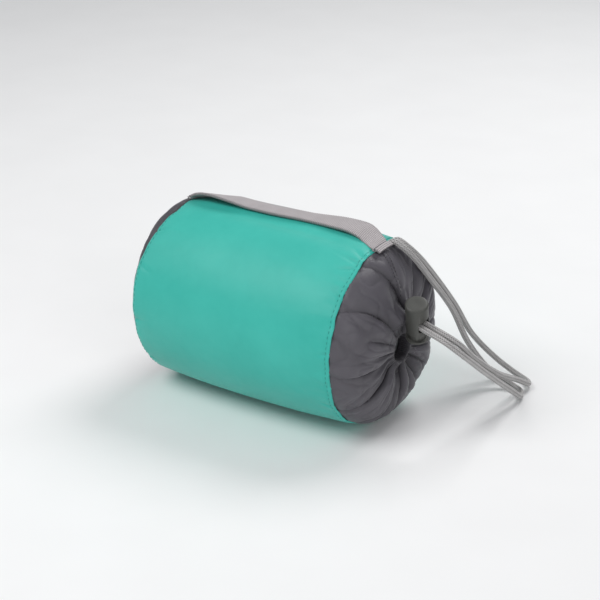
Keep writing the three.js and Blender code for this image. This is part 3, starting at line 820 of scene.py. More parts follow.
shoulder_x = BASE_EDGE_X + SHOULDER_LENGTH
swell = 2 * sack_radius - (SHOULDER_RADIUS + mouth_seam_radius) / 2
base_curve = [
    (BASE_EDGE_X, BASE_EDGE_RADIUS, 0),
    (BASE_EDGE_X + SHOULDER_LENGTH / 4, SHOULDER_RADIUS, 0),
    (shoulder_x, SHOULDER_RADIUS, 0),
]
long_curve = [
    (shoulder_x, SHOULDER_RADIUS, 0),
    ((shoulder_x + mouth_seam_x) / 2, swell, 0),
    (mouth_seam_x, mouth_seam_radius, 0),
]
tube_outline = [bezier(base_curve, i / 12) for i in range(12)]
tube_outline += [bezier(long_curve, i / 30) for i in range(31)]


def tube_radius(x):
    return np.interp(x, [p.x for p in tube_outline], [p.y for p in tube_outline])


print(f"the tube is {tube_radius(0) / MM:.1f} mm in radius at its middle")

# %% [markdown]
# What the tube does show comes from its seams. Each stitch gathers a little cloth, which makes
# puckers that fade within a few millimetres. Here and there a stitch pulls harder and leaves a
# short crease. The strap pulls the tube's edge in at the base, and presses a soft valley into
# the cloth along its near side.

# %% Pulls and the valley under the strap
PULL_DEPTH = 0.6 * MM
PULL_WIDTH = 0.6  # millimetres, as are the middle and the length of each pull
PULLS = [  # degrees from the top, middle along the sack, length, slant
    (16, 33.5, 3.0, 0.5),
    (22, 32.0, 4.5, 0.2),
    (28, 33.0, 3.0, -0.5),
    (47, 34.0, 2.2, 0.3),
    (83, 34.2, 2.0, -0.2),
    (121, 34.0, 2.4, 0.3),
    (158, 33.5, 3.0, 0.1),
    (36, -36.5, 2.6, -0.4),
    (62, -36.0, 3.2, 0.3),
    (96, -37.0, 2.4, -0.2),
    (128, -36.5, 2.8, 0.2),
    (330, 33.5, 3.0, 0.4),
    (300, -36.5, 2.8, 0.3),
]
EDGE_SHIFT, EDGE_SHIFT_TURN, EDGE_SHIFT_REACH = 3.2 * MM, 0.02, 0.1
VALLEY_DEPTH = 0.7 * MM
VALLEY_DEGREES, VALLEY_REACH = 9, 5.5
VALLEY_HALF_LENGTH = 27  # millimetres


def pull(turn, x, degrees, middle, length, slant):
    """The depth of a short crease where a stitch pulls on the cloth."""
    along = x / MM - middle
    away = short_turn(turn - degrees / 360) * math.tau * sack_radius / MM - slant * along
    return PULL_DEPTH * math.exp(-abs(away) / PULL_WIDTH - (along / length) ** 2)


def base_edge_shift(turn):
    """How far the tube's edge is pulled in at the top, where the strap is sewn to the base."""
    return EDGE_SHIFT * math.exp(-((short_turn(turn - EDGE_SHIFT_TURN) / EDGE_SHIFT_REACH) ** 2))


def strap_valley(turn, x):
    """The depth of the valley along the strap's near edge."""
    away = (short_turn(turn) * 360 - VALLEY_DEGREES) / VALLEY_REACH
    return VALLEY_DEPTH * math.exp(-away * away - ((x / MM) / VALLEY_HALF_LENGTH) ** 6)


print(f"{len(PULLS)} pulls on the tube")

# %% [markdown]
# All of this is added to the outline in one function, with the groove in which the top
# stitching lies and the bump over the cord's two ends. The stitches ask the same function where
# they lie, so they can't leave the cloth.

# %% Tube
CLOTH_THICKNESS = 0.3 * MM
TOPSTITCH_INSET = 1.3 * MM
SEAM_REACH = 4.5 * MM
SOFT_WAVES = 0.3 * MM
MOUTH_PUCKERS, FINE_PUCKERS, BASE_PUCKERS = 0.65 * MM, 0.35 * MM, 0.4 * MM
GROOVE_DEPTH, GROOVE_WIDTH = 0.16 * MM, 0.4 * MM
SEAM_EDGE = 0.35 * MM  # how far and how near the seam the cloth turns in
CORD_ENDS_TURN = -0.029  # where the cord's ends come out of the mouth seam
CORD_ENDS_WIDTH, CORD_ENDS_LENGTH, CORD_ENDS_HEIGHT = 3.4 * MM, 2.6 * MM, 1.0 * MM
ROW_CROWDING = 0.62  # how much closer the mesh's rows lie near the two seams


def tube_cloth(turn, x):
    """Where the tube's cloth lies, for a place round it and along it."""
    from_mouth = mouth_seam_x - x
    from_base = x - BASE_EDGE_X
    near_mouth = math.exp(-from_mouth / SEAM_REACH)
    near_base = math.exp(-from_base / SEAM_REACH)
    x += base_edge_shift(turn) * near_base
    smooth_point = around(x, tube_radius(x), turn)
    lift = SOFT_WAVES * ripple(smooth_point, 0.03, 0.016)
    lift += MOUTH_PUCKERS * near_mouth * ripple(smooth_point, 0.012, 0.0042, 3.0)
    lift += BASE_PUCKERS * near_base * ripple(smooth_point, 0.012, 0.0042, 3.0)
    lift -= strap_valley(turn, x) + 0.25 * near_base * base_edge_shift(turn)
    lift += FINE_PUCKERS * near_mouth * ripple(smooth_point, 0.006, 0.002, 7.0)
    lift -= GROOVE_DEPTH * math.exp(-(((from_mouth - TOPSTITCH_INSET) / GROOVE_WIDTH) ** 2))
    lift -= SEAM_EDGE * math.exp(-from_mouth / SEAM_EDGE)
    from_cord = short_turn(turn - CORD_ENDS_TURN) * math.tau * sack_radius
    past_cord = (from_cord / CORD_ENDS_WIDTH) ** 4 + (from_mouth / CORD_ENDS_LENGTH) ** 2
    lift += CORD_ENDS_HEIGHT * math.exp(-past_cord)
    lift -= sum(pull(turn, x, *one) for one in PULLS)
    slide = 0.5 * MM * (near_mouth - near_base) * ripple(smooth_point, 1, 0.009, 5.0)
    return resting(around(x + slide, tube_radius(x) + lift, turn))


tube_length = mouth_seam_x - BASE_EDGE_X
tube_size = (math.tau * sack_radius, tube_length)


def tube_place(turn, share):
    crowded = share - ROW_CROWDING * math.sin(math.tau * share) / math.tau
    return tube_cloth(turn, BASE_EDGE_X + crowded * tube_length)


tube = wrap("sack_tube", (360, 96), tube_size, tube_place, teal_cloth, outward=from_axis)
thicken(tube, CLOTH_THICKNESS)
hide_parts("sack_body")
print(f"tube cut {tube_size[0] / MM:.0f} x {tube_size[1] / MM:.0f} mm")

# %% [markdown]
# ## The gathered mouth
#
# The mouth is a second, dark grey rectangle, as long as the seam is round. Its far edge is a
# hem, and the drawcord in the hem pulls all of that length in to a hole a few millimetres wide.
# The surplus cloth has to go somewhere, so it folds: a few long creases reach from the hem to
# the seam, and shorter ones start between them nearer the hem. Each crease is sharp, with one
# side leaning over it, and the cloth between two creases is round.
#
# A cloth simulation would find such folds by itself, but not in chosen places, so the creases
# are a list.

# %% Creases
CREASES = [  # degrees at the hem, degrees at the seam, share where it starts, depth, side
    (2, 24, 0.0, 2.6, 1),
    (36, 58, 0.0, 2.3, -1),
    (62, 78, 0.5, 1.6, -1),
    (84, 86, 0.6, 1.4, 1),
    (101, 96, 0.05, 2.0, 1),
    (118, 112, 0.55, 1.3, 1),
    (133, 126, 0.08, 2.3, -1),
    (150, 144, 0.45, 1.8, 1),
    (168, 160, 0.12, 3.0, 1),
    (186, 178, 0.3, 2.4, -1),
    (203, 191, 0.5, 1.8, 1),
    (216, 204, 0.1, 2.6, 1),
    (232, 226, 0.3, 2.0, -1),
    (251, 247, 0.15, 2.2, 1),
    (272, 272, 0.4, 1.8, 1),
    (295, 297, 0.1, 2.2, -1),
    (317, 308, 0.15, 2.2, 1),
    (338, 334, 0.2, 2.4, -1),
]
SHARP_SIDE = 0.55 * MM
ROUND_SIDE = 1.9 * MM
LEAN = 0.55  # how far the cloth leans over a crease, as a share of its depth
LEAN_START, LEAN_REACH = 0.3 * MM, 1.1 * MM
LONG_CREASE_START = 0.2  # a crease that starts before this is a long one
LONG_CREASE_AT_SEAM = 0.2  # share of its depth that a long crease still has at the seam
SIDE_SEAM = (9, 2)  # degrees at the hem and at the seam
SIDE_SEAM_WIDTH = 2.4 * MM


def rise(share, start):
    """From 0 at start to 1 at 1, smoothly."""
    t = min(max((share - start) / (1 - start), 0), 1)
    return t * t * (3 - 2 * t)


def crease_folds(turn, share, radius):
    """How deep the cloth lies below its ridges, and how far it leans round, in metres."""
    depth = 0
    lean = 0
    for at_hem, at_seam, start, full_depth, side in CREASES:
        centre = (at_seam + (at_hem - at_seam) * min(share, 1)) / 360
        away = short_turn(turn - centre) * math.tau * radius * side
        at_the_seam = LONG_CREASE_AT_SEAM if start < LONG_CREASE_START else 0
        grown = full_depth * MM * (at_the_seam + (1 - at_the_seam) * rise(share, start))
        width = SHARP_SIDE if away < 0 else ROUND_SIDE
        depth += grown * math.exp(-abs(away) / width)
        if away > 0:
            over = (1 - math.exp(-away / LEAN_START)) * math.exp(-away / LEAN_REACH)
            lean -= side * LEAN * grown * over
    return depth, lean


print(f"{len(CREASES)} creases in the mouth")

# %% [markdown]
# Between the creases the cloth is crumpled. Noise whose zero line is made into a sharp ridge
# looks like that, and two sizes of it are enough.

# %% Crumpled cloth
CRUMPLES = [(3.1, 0.65), (6.3, 0.35)]  # the scale of each and its part of the whole


def crumple(turn, share):
    """Small sharp creases, from 0 between them to 1 in them, longer out from the hole."""
    angle = math.tau * turn
    sharp = 0
    for scale, part in CRUMPLES:
        spot = Vector((scale * math.cos(angle), scale * math.sin(angle), 0.5 * scale * share + 5))
        sharp += part * max(1 - 1.6 * abs(noise.noise(spot)), 0) ** 4
    return sharp


# %% [markdown]
# The hem continues the gathers through the hole: it rounds over at the hole's edge and goes
# inwards, where its colour is darkened as painted shade. Panel and hem share one function, so
# that each fold runs on from one to the other.

# %% Mouth profiles
RIDGE_HEIGHT = 0.6 * MM  # how far the gathers' ridges stand out past the profile
HEM_EDGE_RADIUS = 8.4 * MM
HOLE_RADIUS = 3.9 * MM
TUCK = 1.2 * MM
front_x = mouth_high.x - RIDGE_HEIGHT
mouth_depth = front_x - mouth_seam_x
panel_curve = [
    (mouth_seam_x - TUCK, mouth_seam_radius - 0.45 * MM, 0),
    (mouth_seam_x + 0.42 * mouth_depth, 0.985 * mouth_seam_radius, 0),
    (front_x + 0.4 * MM, 0.7 * mouth_seam_radius, 0),
    (front_x, HEM_EDGE_RADIUS, 0),
]
hem_curve = [
    (front_x, HEM_EDGE_RADIUS, 0),
    (front_x, HOLE_RADIUS + 1.5 * MM, 0),
    (front_x - 0.4 * MM, HOLE_RADIUS - 0.7 * MM, 0),
    (front_x - 2.4 * MM, HOLE_RADIUS - 0.1 * MM, 0),
    (hem_low.x, HOLE_RADIUS, 0),
]


def cloth_slope(curve, part):
    """A point on a curve and the direction across it, towards the outside."""
    ahead = bezier(curve, part + 0.01) - bezier(curve, part - 0.01)
    return bezier(curve, part), Vector((-ahead.y, ahead.x, 0)).normalized()


print(f"the mouth is {mouth_depth / MM:.1f} mm deep")

# %% [markdown]
# The last things that shape the gathers are small: the ridge over the side seam's folded
# allowance, the fine gathers that the cord makes in the hem, the way the cloth puffs out
# between the seam and the hem, and the place where the cord's two strands push it outwards.

# %% Mouth cloth
SEAM_RIDGE = 0.35 * MM
CRUMPLE_DEPTH = 0.8 * MM
FINE_GATHERS, FINE_DEPTH, FINE_UNEVENNESS = 31, 0.22 * MM, 0.8
PUFF = 0.45 * MM
MOUTH_WAVES = 0.25 * MM
NARROWEST = 2.2 * MM
CORD_EXIT = (-3.6 * MM, 38.8 * MM)  # y and z of the place where both strands leave the hem
CORD_EXIT_BUMP, CORD_EXIT_WIDTH = 3.2 * MM, 3.1 * MM
DEEPEST = 3 * MM  # a fold of this depth is drawn as dark as any


def seam_ridge(turn, share, radius):
    """The height of the cloth over the side seam's allowance."""
    at_hem, at_seam = SIDE_SEAM
    centre = (at_seam + (at_hem - at_seam) * min(share, 1)) / 360
    away = short_turn(turn - centre) * math.tau * radius
    return SEAM_RIDGE / (1 + (2 * away / SIDE_SEAM_WIDTH) ** 6)


def mouth_cloth(turn, share):
    """Where the gathered cloth lies: share runs from 0 at the seam to 1 at the hem and 2 inside."""
    curve, part = (panel_curve, share) if share < 1 else (hem_curve, share - 1)
    point, outward = cloth_slope(curve, part)
    on_panel = min(share, 1)
    inside = rise(share / 1.5, 0.6)
    radius = max(point.y, HOLE_RADIUS)
    depth, lean = crease_folds(turn, share, radius)
    depth *= 1 - 0.9 * inside
    lean *= 1 - inside
    depth += CRUMPLE_DEPTH * crumple(turn, share) * math.sin(math.pi * on_panel) ** 0.6
    uneven = FINE_UNEVENNESS * math.sin(math.tau * 3 * turn)
    gathers = math.cos(math.tau * (FINE_GATHERS * turn + uneven))
    fine = FINE_DEPTH * rise(on_panel, 0.55) * gathers * (1 - 0.8 * inside)
    puff = PUFF * math.sin(math.pi * on_panel) * (1 + 0.5 * math.sin(math.tau * 5 * turn))
    height = puff + fine + seam_ridge(turn, share, radius) * (1 - inside) - depth
    x = point.x + outward.x * height
    out = max(point.y + outward.y * height, NARROWEST)
    x += MOUTH_WAVES * ripple(around(x, out, turn), 0.01, 0.0045, 2.0) * (1 - inside)
    towards_hole = on_panel ** 1.2
    centre_y = hole_y * towards_hole
    centre_z = axis_z + (hole_z - axis_z) * towards_hole
    made = around(x, out, turn + lean / (math.tau * radius), centre_y, centre_z)
    from_exit = math.hypot(made.y - CORD_EXIT[0], made.z - CORD_EXIT[1])
    made.x += CORD_EXIT_BUMP * math.exp(-((from_exit / CORD_EXIT_WIDTH) ** 2)) * (1 - inside)
    # the second value is painted shade: darker in deep folds and on the hem inside the hole
    return resting(made), min(depth / DEEPEST + 0.8 * inside, 1)


# %% [markdown]
# The panel's flat length is its profile's own length, and its flat width is the seam's, since
# the cloth isn't gathered there.

# %% Mouth panel
panel_round = math.tau * mouth_seam_radius
curve_points = [bezier(panel_curve, i / 60) for i in range(61)]
panel_length = sum((b - a).length for a, b in zip(curve_points, curve_points[1:]))
panel_size = (panel_round, panel_length)
panel = wrap("mouth_gathers", (432, 84), panel_size, mouth_cloth, grey_cloth, outward=forwards)
thicken(panel, CLOTH_THICKNESS)
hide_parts("mouth_panel")
print(f"mouth panel cut {panel_round / MM:.0f} x {panel_length / MM:.0f} mm, less its hem")

# %% [markdown]
# The hem starts a little before the panel ends, so that no gap opens between the two.

# %% Hem
HEM_OVERLAP = 0.015
HEM_CUT = 9 * MM


def hem_place(turn, share):
    return mouth_cloth(turn, 1 - HEM_OVERLAP + (1 + HEM_OVERLAP) * share)


hem = wrap("mouth_hem", (288, 40), (panel_round, HEM_CUT), hem_place, grey_cloth, outward=forwards)
thicken(hem, CLOTH_THICKNESS)
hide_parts("drawcord_channel")

# %% [markdown]
# ## The base
#
# The back end is a flat round panel that the roll pushes out a little. Its rim is eased into
# the tube's seam, which leaves small puckers all round.

# %% Base
BASE_TURN = 0.05  # where the base's cloth bulges furthest past the tube's edge
BASE_BULGE, BASE_BULGE_REACH = 5.2 * MM, 0.09
BASE_RIM_DEPTH = 2.9 * MM
RIM_PUCKERS, BASE_WAVES = 0.5 * MM, 0.35 * MM
RIM_SHARE = 0.16  # share of the way to the middle over which the puckers fade


def base_curve_at(turn):
    """The base panel's profile at a place round it, from its seam to its middle."""
    bulge = BASE_BULGE * math.exp(-((short_turn(turn - BASE_TURN) / BASE_BULGE_REACH) ** 2))
    edge_x = BASE_EDGE_X + base_edge_shift(turn) + 0.8 * MM
    edge_radius = tube_radius(edge_x) - 0.9 * MM - 0.25 * base_edge_shift(turn)
    return [
        (edge_x, edge_radius, 0),
        (BASE_EDGE_X - BASE_RIM_DEPTH, BASE_EDGE_RADIUS - 0.3 * MM + bulge, 0),
        (base_low.x, 0.66 * base_seam_radius, 0),
        (base_low.x, 0, 0),
    ]


def base_place(turn, share):
    point = bezier(base_curve_at(turn), share)
    smooth_point = around(point.x, point.y, turn)
    rim = math.exp(-share / RIM_SHARE)
    lift = RIM_PUCKERS * rim * ripple(smooth_point, 1, 0.0045, 9.0)
    lift += BASE_WAVES * ripple(smooth_point, 1, 0.012, 4.0) * (1 - rim)
    fold = 0.6 * MM * crumple(turn, 1 - share) * math.sin(math.pi * share)
    made = around(point.x + fold, max(point.y + lift * rim, 0), turn)
    # the second value darkens the base: by a fixed step all over, and with painted shade towards its rim
    # under the tube's edge
    return resting(made), 0.3 * rim + 0.2


base_size = (math.tau * base_seam_radius, base_seam_radius)
base = wrap("base_round", (288, 40), base_size, base_place, grey_cloth, outward=backwards)
thicken(base, CLOTH_THICKNESS)
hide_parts("base_panel")

# %% [markdown]
# ## The carry strap
#
# The strap is ribbed webbing, sewn down at both seams. It lies on the cloth for most of its
# length. At the base it was sewn on a little askew, so there it stands off the cloth and rolls
# on its side before it settles. Its line below is a list, because no formula gives the way a
# slack strap happens to lie.

# %% The strap's line
STRAP_WIDTH = 7.5 * MM
STRAP_THICKNESS = 0.8 * MM
STRAP_LIFT = 0.95 * MM
RIB_PITCH = 0.62 * MM
RIB_RELIEF = 0.13 * MM
MOUTH_BARTACK_X = mouth_seam_x + 0.1 * MM
BASE_BARTACK_X = BASE_EDGE_X + 3.6 * MM
BARTACK_REACH = 0.42 * MM  # how far beside it a bartack pinches the strap
STRAP_LINE = [  # millimetres along, degrees from the top, millimetres above the cloth, roll
    (-36.4, 2.0, -1.0, 12),
    (-35.4, 2.0, -0.8, 20),
    (-33.2, 1.5, -0.1, 26),
    (-30.4, 1.0, 0.6, 26),
    (-26.6, 1.0, 1.0, 21),
    (-20.2, 1.5, 0.9, 9),
    (-13.5, 2.5, 0.1, 3),
    (-3.5, 3.0, 0.0, 1),
    (6.3, 5.0, 0.1, 0),
    (12.0, 6.0, 0.4, -5),
    (17.5, 6.0, 0.9, -9),
    (23.5, 6.0, 1.2, -12),
    (27.5, 5.0, 1.1, -16),
    (30.6, 3.0, 0.5, -19),
    (33.7, 0.0, 0.1, -11),
    (36.0, -2.0, 0.0, 0),
    (38.3, -2.4, 0.0, 0),
]
strap_path = smooth_path([(x, degrees, height) for x, degrees, height, _ in STRAP_LINE])
strap_xs = [p.x for p in strap_path]


def strap_top(x, side):
    """The strap's upper face, at a place along the sack and from -0.5 to 0.5 across it."""
    degrees = np.interp(x / MM, strap_xs, [p.y for p in strap_path])
    height = np.interp(x / MM, strap_xs, [p.z for p in strap_path]) * MM
    roll = math.radians(np.interp(x / MM, [p[0] for p in STRAP_LINE], [p[3] for p in STRAP_LINE]))
    over_end = max(x - mouth_seam_x, 0)
    rib = abs(math.sin(math.pi * x / RIB_PITCH))
    across = side * (STRAP_WIDTH + 1.4 * RIB_RELIEF * rib)
    pinch = 0.35 * math.exp(-(((x - MOUTH_BARTACK_X) / BARTACK_REACH) ** 2))
    pinch += 0.4 * math.exp(-(((x - BASE_BARTACK_X) / BARTACK_REACH) ** 2))
    tab = 0.5 * min(over_end / (0.6 * MM), 1)
    out = tube_radius(x) - 0.38 * over_end + STRAP_LIFT + height
    out += across * math.sin(roll) + RIB_RELIEF * rib + (tab - pinch) * MM
    turn = -degrees / 360 + across * math.cos(roll) / (math.tau * sack_radius)
    return around(x, out, turn)


def strap_place(share, side):
    first, last = STRAP_LINE[0][0] * MM, STRAP_LINE[-1][0] * MM
    return strap_top(first + share * (last - first), side - 0.5)


print(f"the strap runs from {strap_xs[0]:.1f} to {strap_xs[-1]:.1f} mm")

# %% [markdown]
# Grosgrain is matt. The ribs are on the mesh already; the finish paints a highlight on each
# rib's crest and shade between the ribs, and adds the yarns that cross them.

# %% Strap
YARN_SPACING = 0.42  # millimetres
web_finish = Finish("grosgrain", {"Sheen Weight": 0.2, "Specular IOR Level": 0.3})
ribs = (web_finish.along / (RIB_PITCH / MM)).wave()
yarns = (web_finish.across / YARN_SPACING).wave()
# ribs: painted highlight on the crests and painted shade between them; yarns and blotches are the
# webbing's own tone
web_shade = ribs * 0.38 + yarns * 0.1 + web_finish.blotches(0.006) * 0.35 + 0.3
web_finish.paint({
    "Base Color": web_finish.mix(web_shade, colour(0.26, 0.24, 0.245), colour(0.54, 0.5, 0.51)),
    "Roughness": web_finish.blotches(0.004) * 0.15 + 0.65,
    "Normal": web_finish.bump(ribs * 0.7 + yarns * 0.5, 0.04 * MM, 0.6),
})
strap_size = ((STRAP_LINE[-1][0] - STRAP_LINE[0][0]) * MM, STRAP_WIDTH)
strap = wrap("webbing_strap", (940, 12), strap_size, strap_place, web_finish.material, outward=from_axis)
thicken(strap, STRAP_THICKNESS)
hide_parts("carry_strap")

# %% [markdown]
# ## Stitching
#
# A stitch is a short piece of thread that bulges between two needle holes. One helper lays rows
# of them: for each it is told the middle, the way it runs and the side that faces out. Each has
# only a few faces, since there are hundreds.

# %% Rows of stitches
def thread(name, dark, pale):
    finish = Finish(name, {"Sheen Weight": 0.3, "Specular IOR Level": 0.3})
    twist = finish.blotches(0.0004)
    return finish.paint({
        "Base Color": finish.mix(twist, dark, pale),
        "Roughness": twist * 0.2 + 0.55,
        "Normal": finish.bump(twist, 0.05 * MM, 0.6),
    })


def stitches(name, places, size, material):
    """One piece of many stitches. size is each one's length, width and height."""
    shape = bmesh.new()
    for middle, ahead, out in places:
        ahead = ahead.normalized()
        out = (out - out.dot(ahead) * ahead).normalized()
        axes = Matrix((ahead, out.cross(ahead), out)).transposed().to_4x4()
        place = Matrix.Translation(middle) @ axes @ Matrix.Diagonal((*size, 1))
        bmesh.ops.create_uvsphere(shape, u_segments=8, v_segments=5, radius=0.5, matrix=place)
    print(f"{name}: {len(places)} stitches")
    return add_piece(name, shape, material, "sack")


def seam_row(x, count):
    """Places for a row of stitches round the tube."""
    places = []
    for i in range(count):
        turn = (i + 0.5) / count
        step = 0.1 / count
        ahead = tube_cloth(turn + step, x) - tube_cloth(turn - step, x)
        middle = tube_cloth(turn, x)
        places.append((middle, ahead, from_axis(middle)))
    return places


# %% [markdown]
# Top stitching runs round the tube at both seams, in thread of the cloth's own colour.

# %% Top stitching
TOPSTITCH_SIZE = (1.15 * MM, 0.26 * MM, 0.24 * MM)
MOUTH_STITCHES, BASE_STITCHES = 112, 106
teal_thread = thread("teal_thread", colour(0.0, 0.2, 0.165), colour(0.02, 0.36, 0.3))
dark_thread = thread("charcoal_thread", colour(0.012, 0.011, 0.014), colour(0.045, 0.042, 0.05))
mouth_row = seam_row(mouth_seam_x - TOPSTITCH_INSET, MOUTH_STITCHES)
stitches("mouth_topstitch", mouth_row, TOPSTITCH_SIZE, teal_thread)
base_row = seam_row(BASE_EDGE_X + TOPSTITCH_INSET, BASE_STITCHES)
stitches("base_topstitch", base_row, TOPSTITCH_SIZE, teal_thread)

# %% [markdown]
# The side seam of the mouth panel has two rows, one on each side of it, in dark thread.

# %% Stitches of the side seam
SIDE_STITCHES = 20
SIDE_STITCH_SIZE = (0.95 * MM, 0.24 * MM, 0.3 * MM)


def side_seam_row(offset, count):
    """Stitches that run up the mouth panel beside its side seam."""
    at_hem, at_seam = SIDE_SEAM
    line = []
    for i in range(count + 1):
        share = 0.05 + 0.88 * i / count
        radius = bezier(panel_curve, share).y
        turn = (at_seam + (at_hem - at_seam) * share) / 360 + offset / (math.tau * radius)
        line.append(mouth_cloth(turn, share)[0])
    return [((a + b) / 2, b - a, Vector((0.6, 0, 0.8))) for a, b in zip(line, line[1:])]


side_rows = side_seam_row(0.75 * MM, SIDE_STITCHES) + side_seam_row(-0.55 * MM, SIDE_STITCHES)
side_stitches = stitches("side_seam_stitches", side_rows, SIDE_STITCH_SIZE, dark_thread)

# %% [markdown]
# A bartack is a dense zigzag across the strap, here one stitch beside the other with their
# slants in turn.

# %% Bartacks
def bartack(name, x, count, length):
    """Close stitches side by side across the strap."""
    places = []
    for i in range(count):
        side = ((i + 0.5) / count - 0.5) * 1.02
        middle = strap_top(x, side)
        slant = Vector((1, 0.35 * (-1) ** i, 0))
        places.append((middle, slant, from_axis(middle)))
    return stitches(name, places, (length, 0.42 * MM, 0.6 * MM), dark_thread)


mouth_bartack = bartack("strap_mouth_bartack", MOUTH_BARTACK_X, 22, 0.75 * MM)
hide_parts("strap_mouth_stitching")
base_bartack = bartack("strap_base_bartack", BASE_BARTACK_X, 18, 0.9 * MM)
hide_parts("strap_base_stitching")

# %% [markdown]
# A short row of stitches over the seam's edge holds the cord's two ends, which lie under it.

# %% The cord's tack
TACK_STITCHES = 9
TACK_SPACING = 0.6 * MM
TACK_SIZE = (0.9 * MM, 0.26 * MM, 0.24 * MM)

tack_places = []
for i in range(TACK_STITCHES):
    from_middle = (i - TACK_STITCHES // 2) * TACK_SPACING
    turn = CORD_ENDS_TURN + from_middle / (math.tau * sack_radius)
    middle = tube_cloth(turn, mouth_seam_x - 0.7 * MM)
    tack_places.append((middle, Vector((1, 0, 0)), from_axis(middle)))
cord_tack = stitches("cord_tack", tack_places, TACK_SIZE, teal_thread)
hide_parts("cord_anchor_stitching")

# %% [markdown]
# ## Inside the sack
#
# None of this shows, but it is all there when the sack is opened: the binding over the three
# seams, the rolled pillow and its valve. The tapes follow their seams just under the cloth.

# %% Seam tapes
tape_finish = Finish("binding_tape", {"Sheen Weight": 0.1, "Specular IOR Level": 0.3})
tape_threads = (tape_finish.along * 2.0).wave() * (tape_finish.across * 2.0).wave()
tape_shade = tape_threads * 0.2 + tape_finish.blotches(0.004) * 0.5 + 0.2
tape_finish.paint({
    "Base Color": tape_finish.mix(tape_shade, colour(0.03, 0.029, 0.033), colour(0.07, 0.067, 0.074)),
    "Roughness": tape_finish.blotches(0.003) * 0.15 + 0.7,
    "Normal": tape_finish.bump(tape_threads, 0.03 * MM, 0.6),
})
TAPE_THICKNESS = 0.7 * MM


def tape(name, node, steps, size, place):
    piece = wrap(name, steps, size, place, tape_finish.material, outward=from_axis)
    thicken(piece, TAPE_THICKNESS)
    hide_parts(node)


def ring_tape(name, node):
    """Binding round an end seam, in its own box."""
    low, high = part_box(node)

    def place(turn, share):
        x = low.x + share * (high.x - low.x)
        waves = 0.12 * MM * math.sin(math.tau * 37 * turn)
        return around(x + waves, high.y - 0.15 * MM + waves, turn)

    tape(name, node, (240, 6), (math.tau * high.y, high.x - low.x), place)


ring_tape("base_binding", "base_seam_tape")
ring_tape("mouth_binding", "mouth_seam_tape")

# %% [markdown]
# The side seam's tape follows the tube's outline, so that it stays under the cloth where the
# tube narrows to its seams.

# %% Side seam tape
side_low, side_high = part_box("side_seam_tape")
side_tape_depth = tube_radius(0) - (side_high.z - axis_z)


def side_tape_place(share, side):
    x = side_low.x + share * (side_high.x - side_low.x)
    y = side_low.y + side * (side_high.y - side_low.y)
    return around(x, tube_radius(x) - side_tape_depth, -y / (math.tau * sack_radius))


side_size = (side_high.x - side_low.x, side_high.y - side_low.y)
tape("side_binding", "side_seam_tape", (160, 8), side_size, side_tape_place)

# %% [markdown]
# The pillow is let down, folded to the sack's length and rolled. Five sheets make the roll: the
# brushed face, the bladder's upper film, its baffle, its lower film and the base cloth. Each is
# a long rectangle wrapped into a spiral, with ends that are a little wavy as rolled cloth's are.
# They are finished first: the face is a soft brushed knit, and the films are pale, smooth and
# slightly wrinkled.

# %% Finishes of the pillow's layers
KNIT_PITCH = 0.6  # millimetres
brushed_constants = {"Sheen Weight": 0.5, "Sheen Roughness": 0.6, "Specular IOR Level": 0.2}
brushed_finish = Finish("brushed_knit", brushed_constants)
knit = (brushed_finish.along / KNIT_PITCH).wave() * (brushed_finish.across / KNIT_PITCH).wave()
nap = brushed_finish.blotches(0.0012, detail=4.0)
brushed_cloth = brushed_finish.paint({
    "Base Color": brushed_finish.mix(nap + knit * 0.08, colour(0.25, 0.3, 0.31), colour(0.37, 0.42, 0.43)),
    "Roughness": nap * 0.15 + 0.8,
    "Normal": brushed_finish.bump(nap + knit * 0.3, 0.12 * MM, 0.7),
})
film_finish = Finish("bladder_film", {"Specular IOR Level": 0.5})
film_wrinkles = film_finish.blotches(0.003, detail=4.0)
film = film_finish.paint({
    "Base Color": film_finish.mix(film_wrinkles, colour(0.52, 0.58, 0.6), colour(0.68, 0.72, 0.73)),
    "Roughness": film_wrinkles * 0.2 + 0.22,
    "Normal": film_finish.bump(film_wrinkles, 0.3 * MM, 0.6),
})
print("finishes:", brushed_cloth.name, film.name)

# %% [markdown]
# One function rolls them all. Every layer follows the same spiral, further out by the
# thickness of the layers under it.

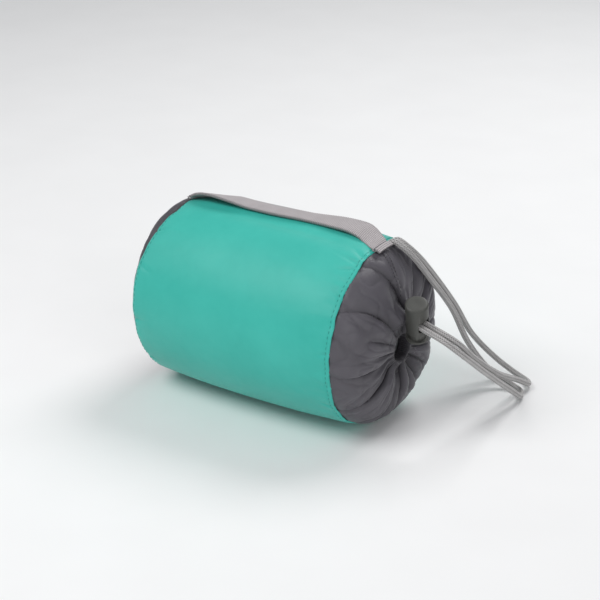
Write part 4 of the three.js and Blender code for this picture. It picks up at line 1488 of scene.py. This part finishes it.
# %% Rolled layers
ROLL_CORE = 2.6 * MM
ROLL_TURNS = 3.42
LAYER_GAP = 0.3 * MM
ROLL_STEPS = 64  # for one turn
LAYERS = [  # piece, node, thickness, material, slot, share of its length that it lacks
    ("rolled_face", "pillow_face_fabric", 1.0 * MM, brushed_cloth, "brushed_cloth", 0.0),
    ("rolled_upper_film", "bladder_upper_film", 0.7 * MM, film, "bladder_film", 0.0),
    ("rolled_baffle", "bladder_baffle", 0.6 * MM, film, "bladder_film", 0.15),
    ("rolled_lower_film", "bladder_lower_film", 0.7 * MM, film, "bladder_film", 0.0),
    ("rolled_base", "pillow_base_fabric", 1.0 * MM, grey_cloth, "grey_cloth", 0.0),
]
roll_low, roll_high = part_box("pillow_face_fabric")
roll_pitch = sum(layer[2] + LAYER_GAP for layer in LAYERS)


def roll_layer(name, node, thickness, material, short, depth):
    """One sheet of the roll. short is the share of its length that it lacks at each end."""
    first, last = short * ROLL_TURNS, (1 - short) * ROLL_TURNS
    mean_radius = ROLL_CORE + roll_pitch * ROLL_TURNS / 2 + depth
    size = (math.tau * mean_radius * (last - first), roll_high.x - roll_low.x)

    def place(share, side):
        turns = first + share * (last - first)
        out = ROLL_CORE + roll_pitch * turns + depth + thickness - 0.03 * MM
        at_end = abs(2 * side - 1) ** 8
        ends = 0.5 * MM * at_end * math.sin(math.tau * turns * 2.3) * (1 if side < 0.5 else -1)
        x = roll_low.x + 0.5 * MM + side * (size[1] - 1 * MM) + ends
        return around(x, out, turns - 0.25)

    steps = (round((last - first) * ROLL_STEPS), 24)
    piece = wrap(name, steps, size, place, material, merge=0.001 * MM)
    thicken(piece, thickness - 0.06 * MM)
    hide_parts(node)
    print(f"{name}: cut {size[0] / MM:.0f} x {size[1] / MM:.0f} mm")


layer_depth = 0
for name, node, thickness, material, slot, short in LAYERS:
    roll_layer(name, node, thickness, material, short, layer_depth)
    layer_depth += thickness + LAYER_GAP

# %% [markdown]
# The valve's parts are right as they are, so they keep the mechanical model's shapes and only
# get their finishes: moulded polyurethane, and milky silicone for the flap.

# %% Valve finishes
valve_plastic = moulded("valve_polyurethane", colour(0.05, 0.054, 0.058), colour(0.1, 0.106, 0.112), 0.48)
silicone = moulded("flap_silicone", colour(0.52, 0.54, 0.54), colour(0.7, 0.72, 0.72), 0.3)
for name in ("valve_flange", "valve_insert", "valve_cap"):
    frame["nodes"][name].material_slots[0].material = valve_plastic
frame["nodes"]["valve_flap"].material_slots[0].material = silicone
print("finishes:", valve_plastic.name, silicone.name)
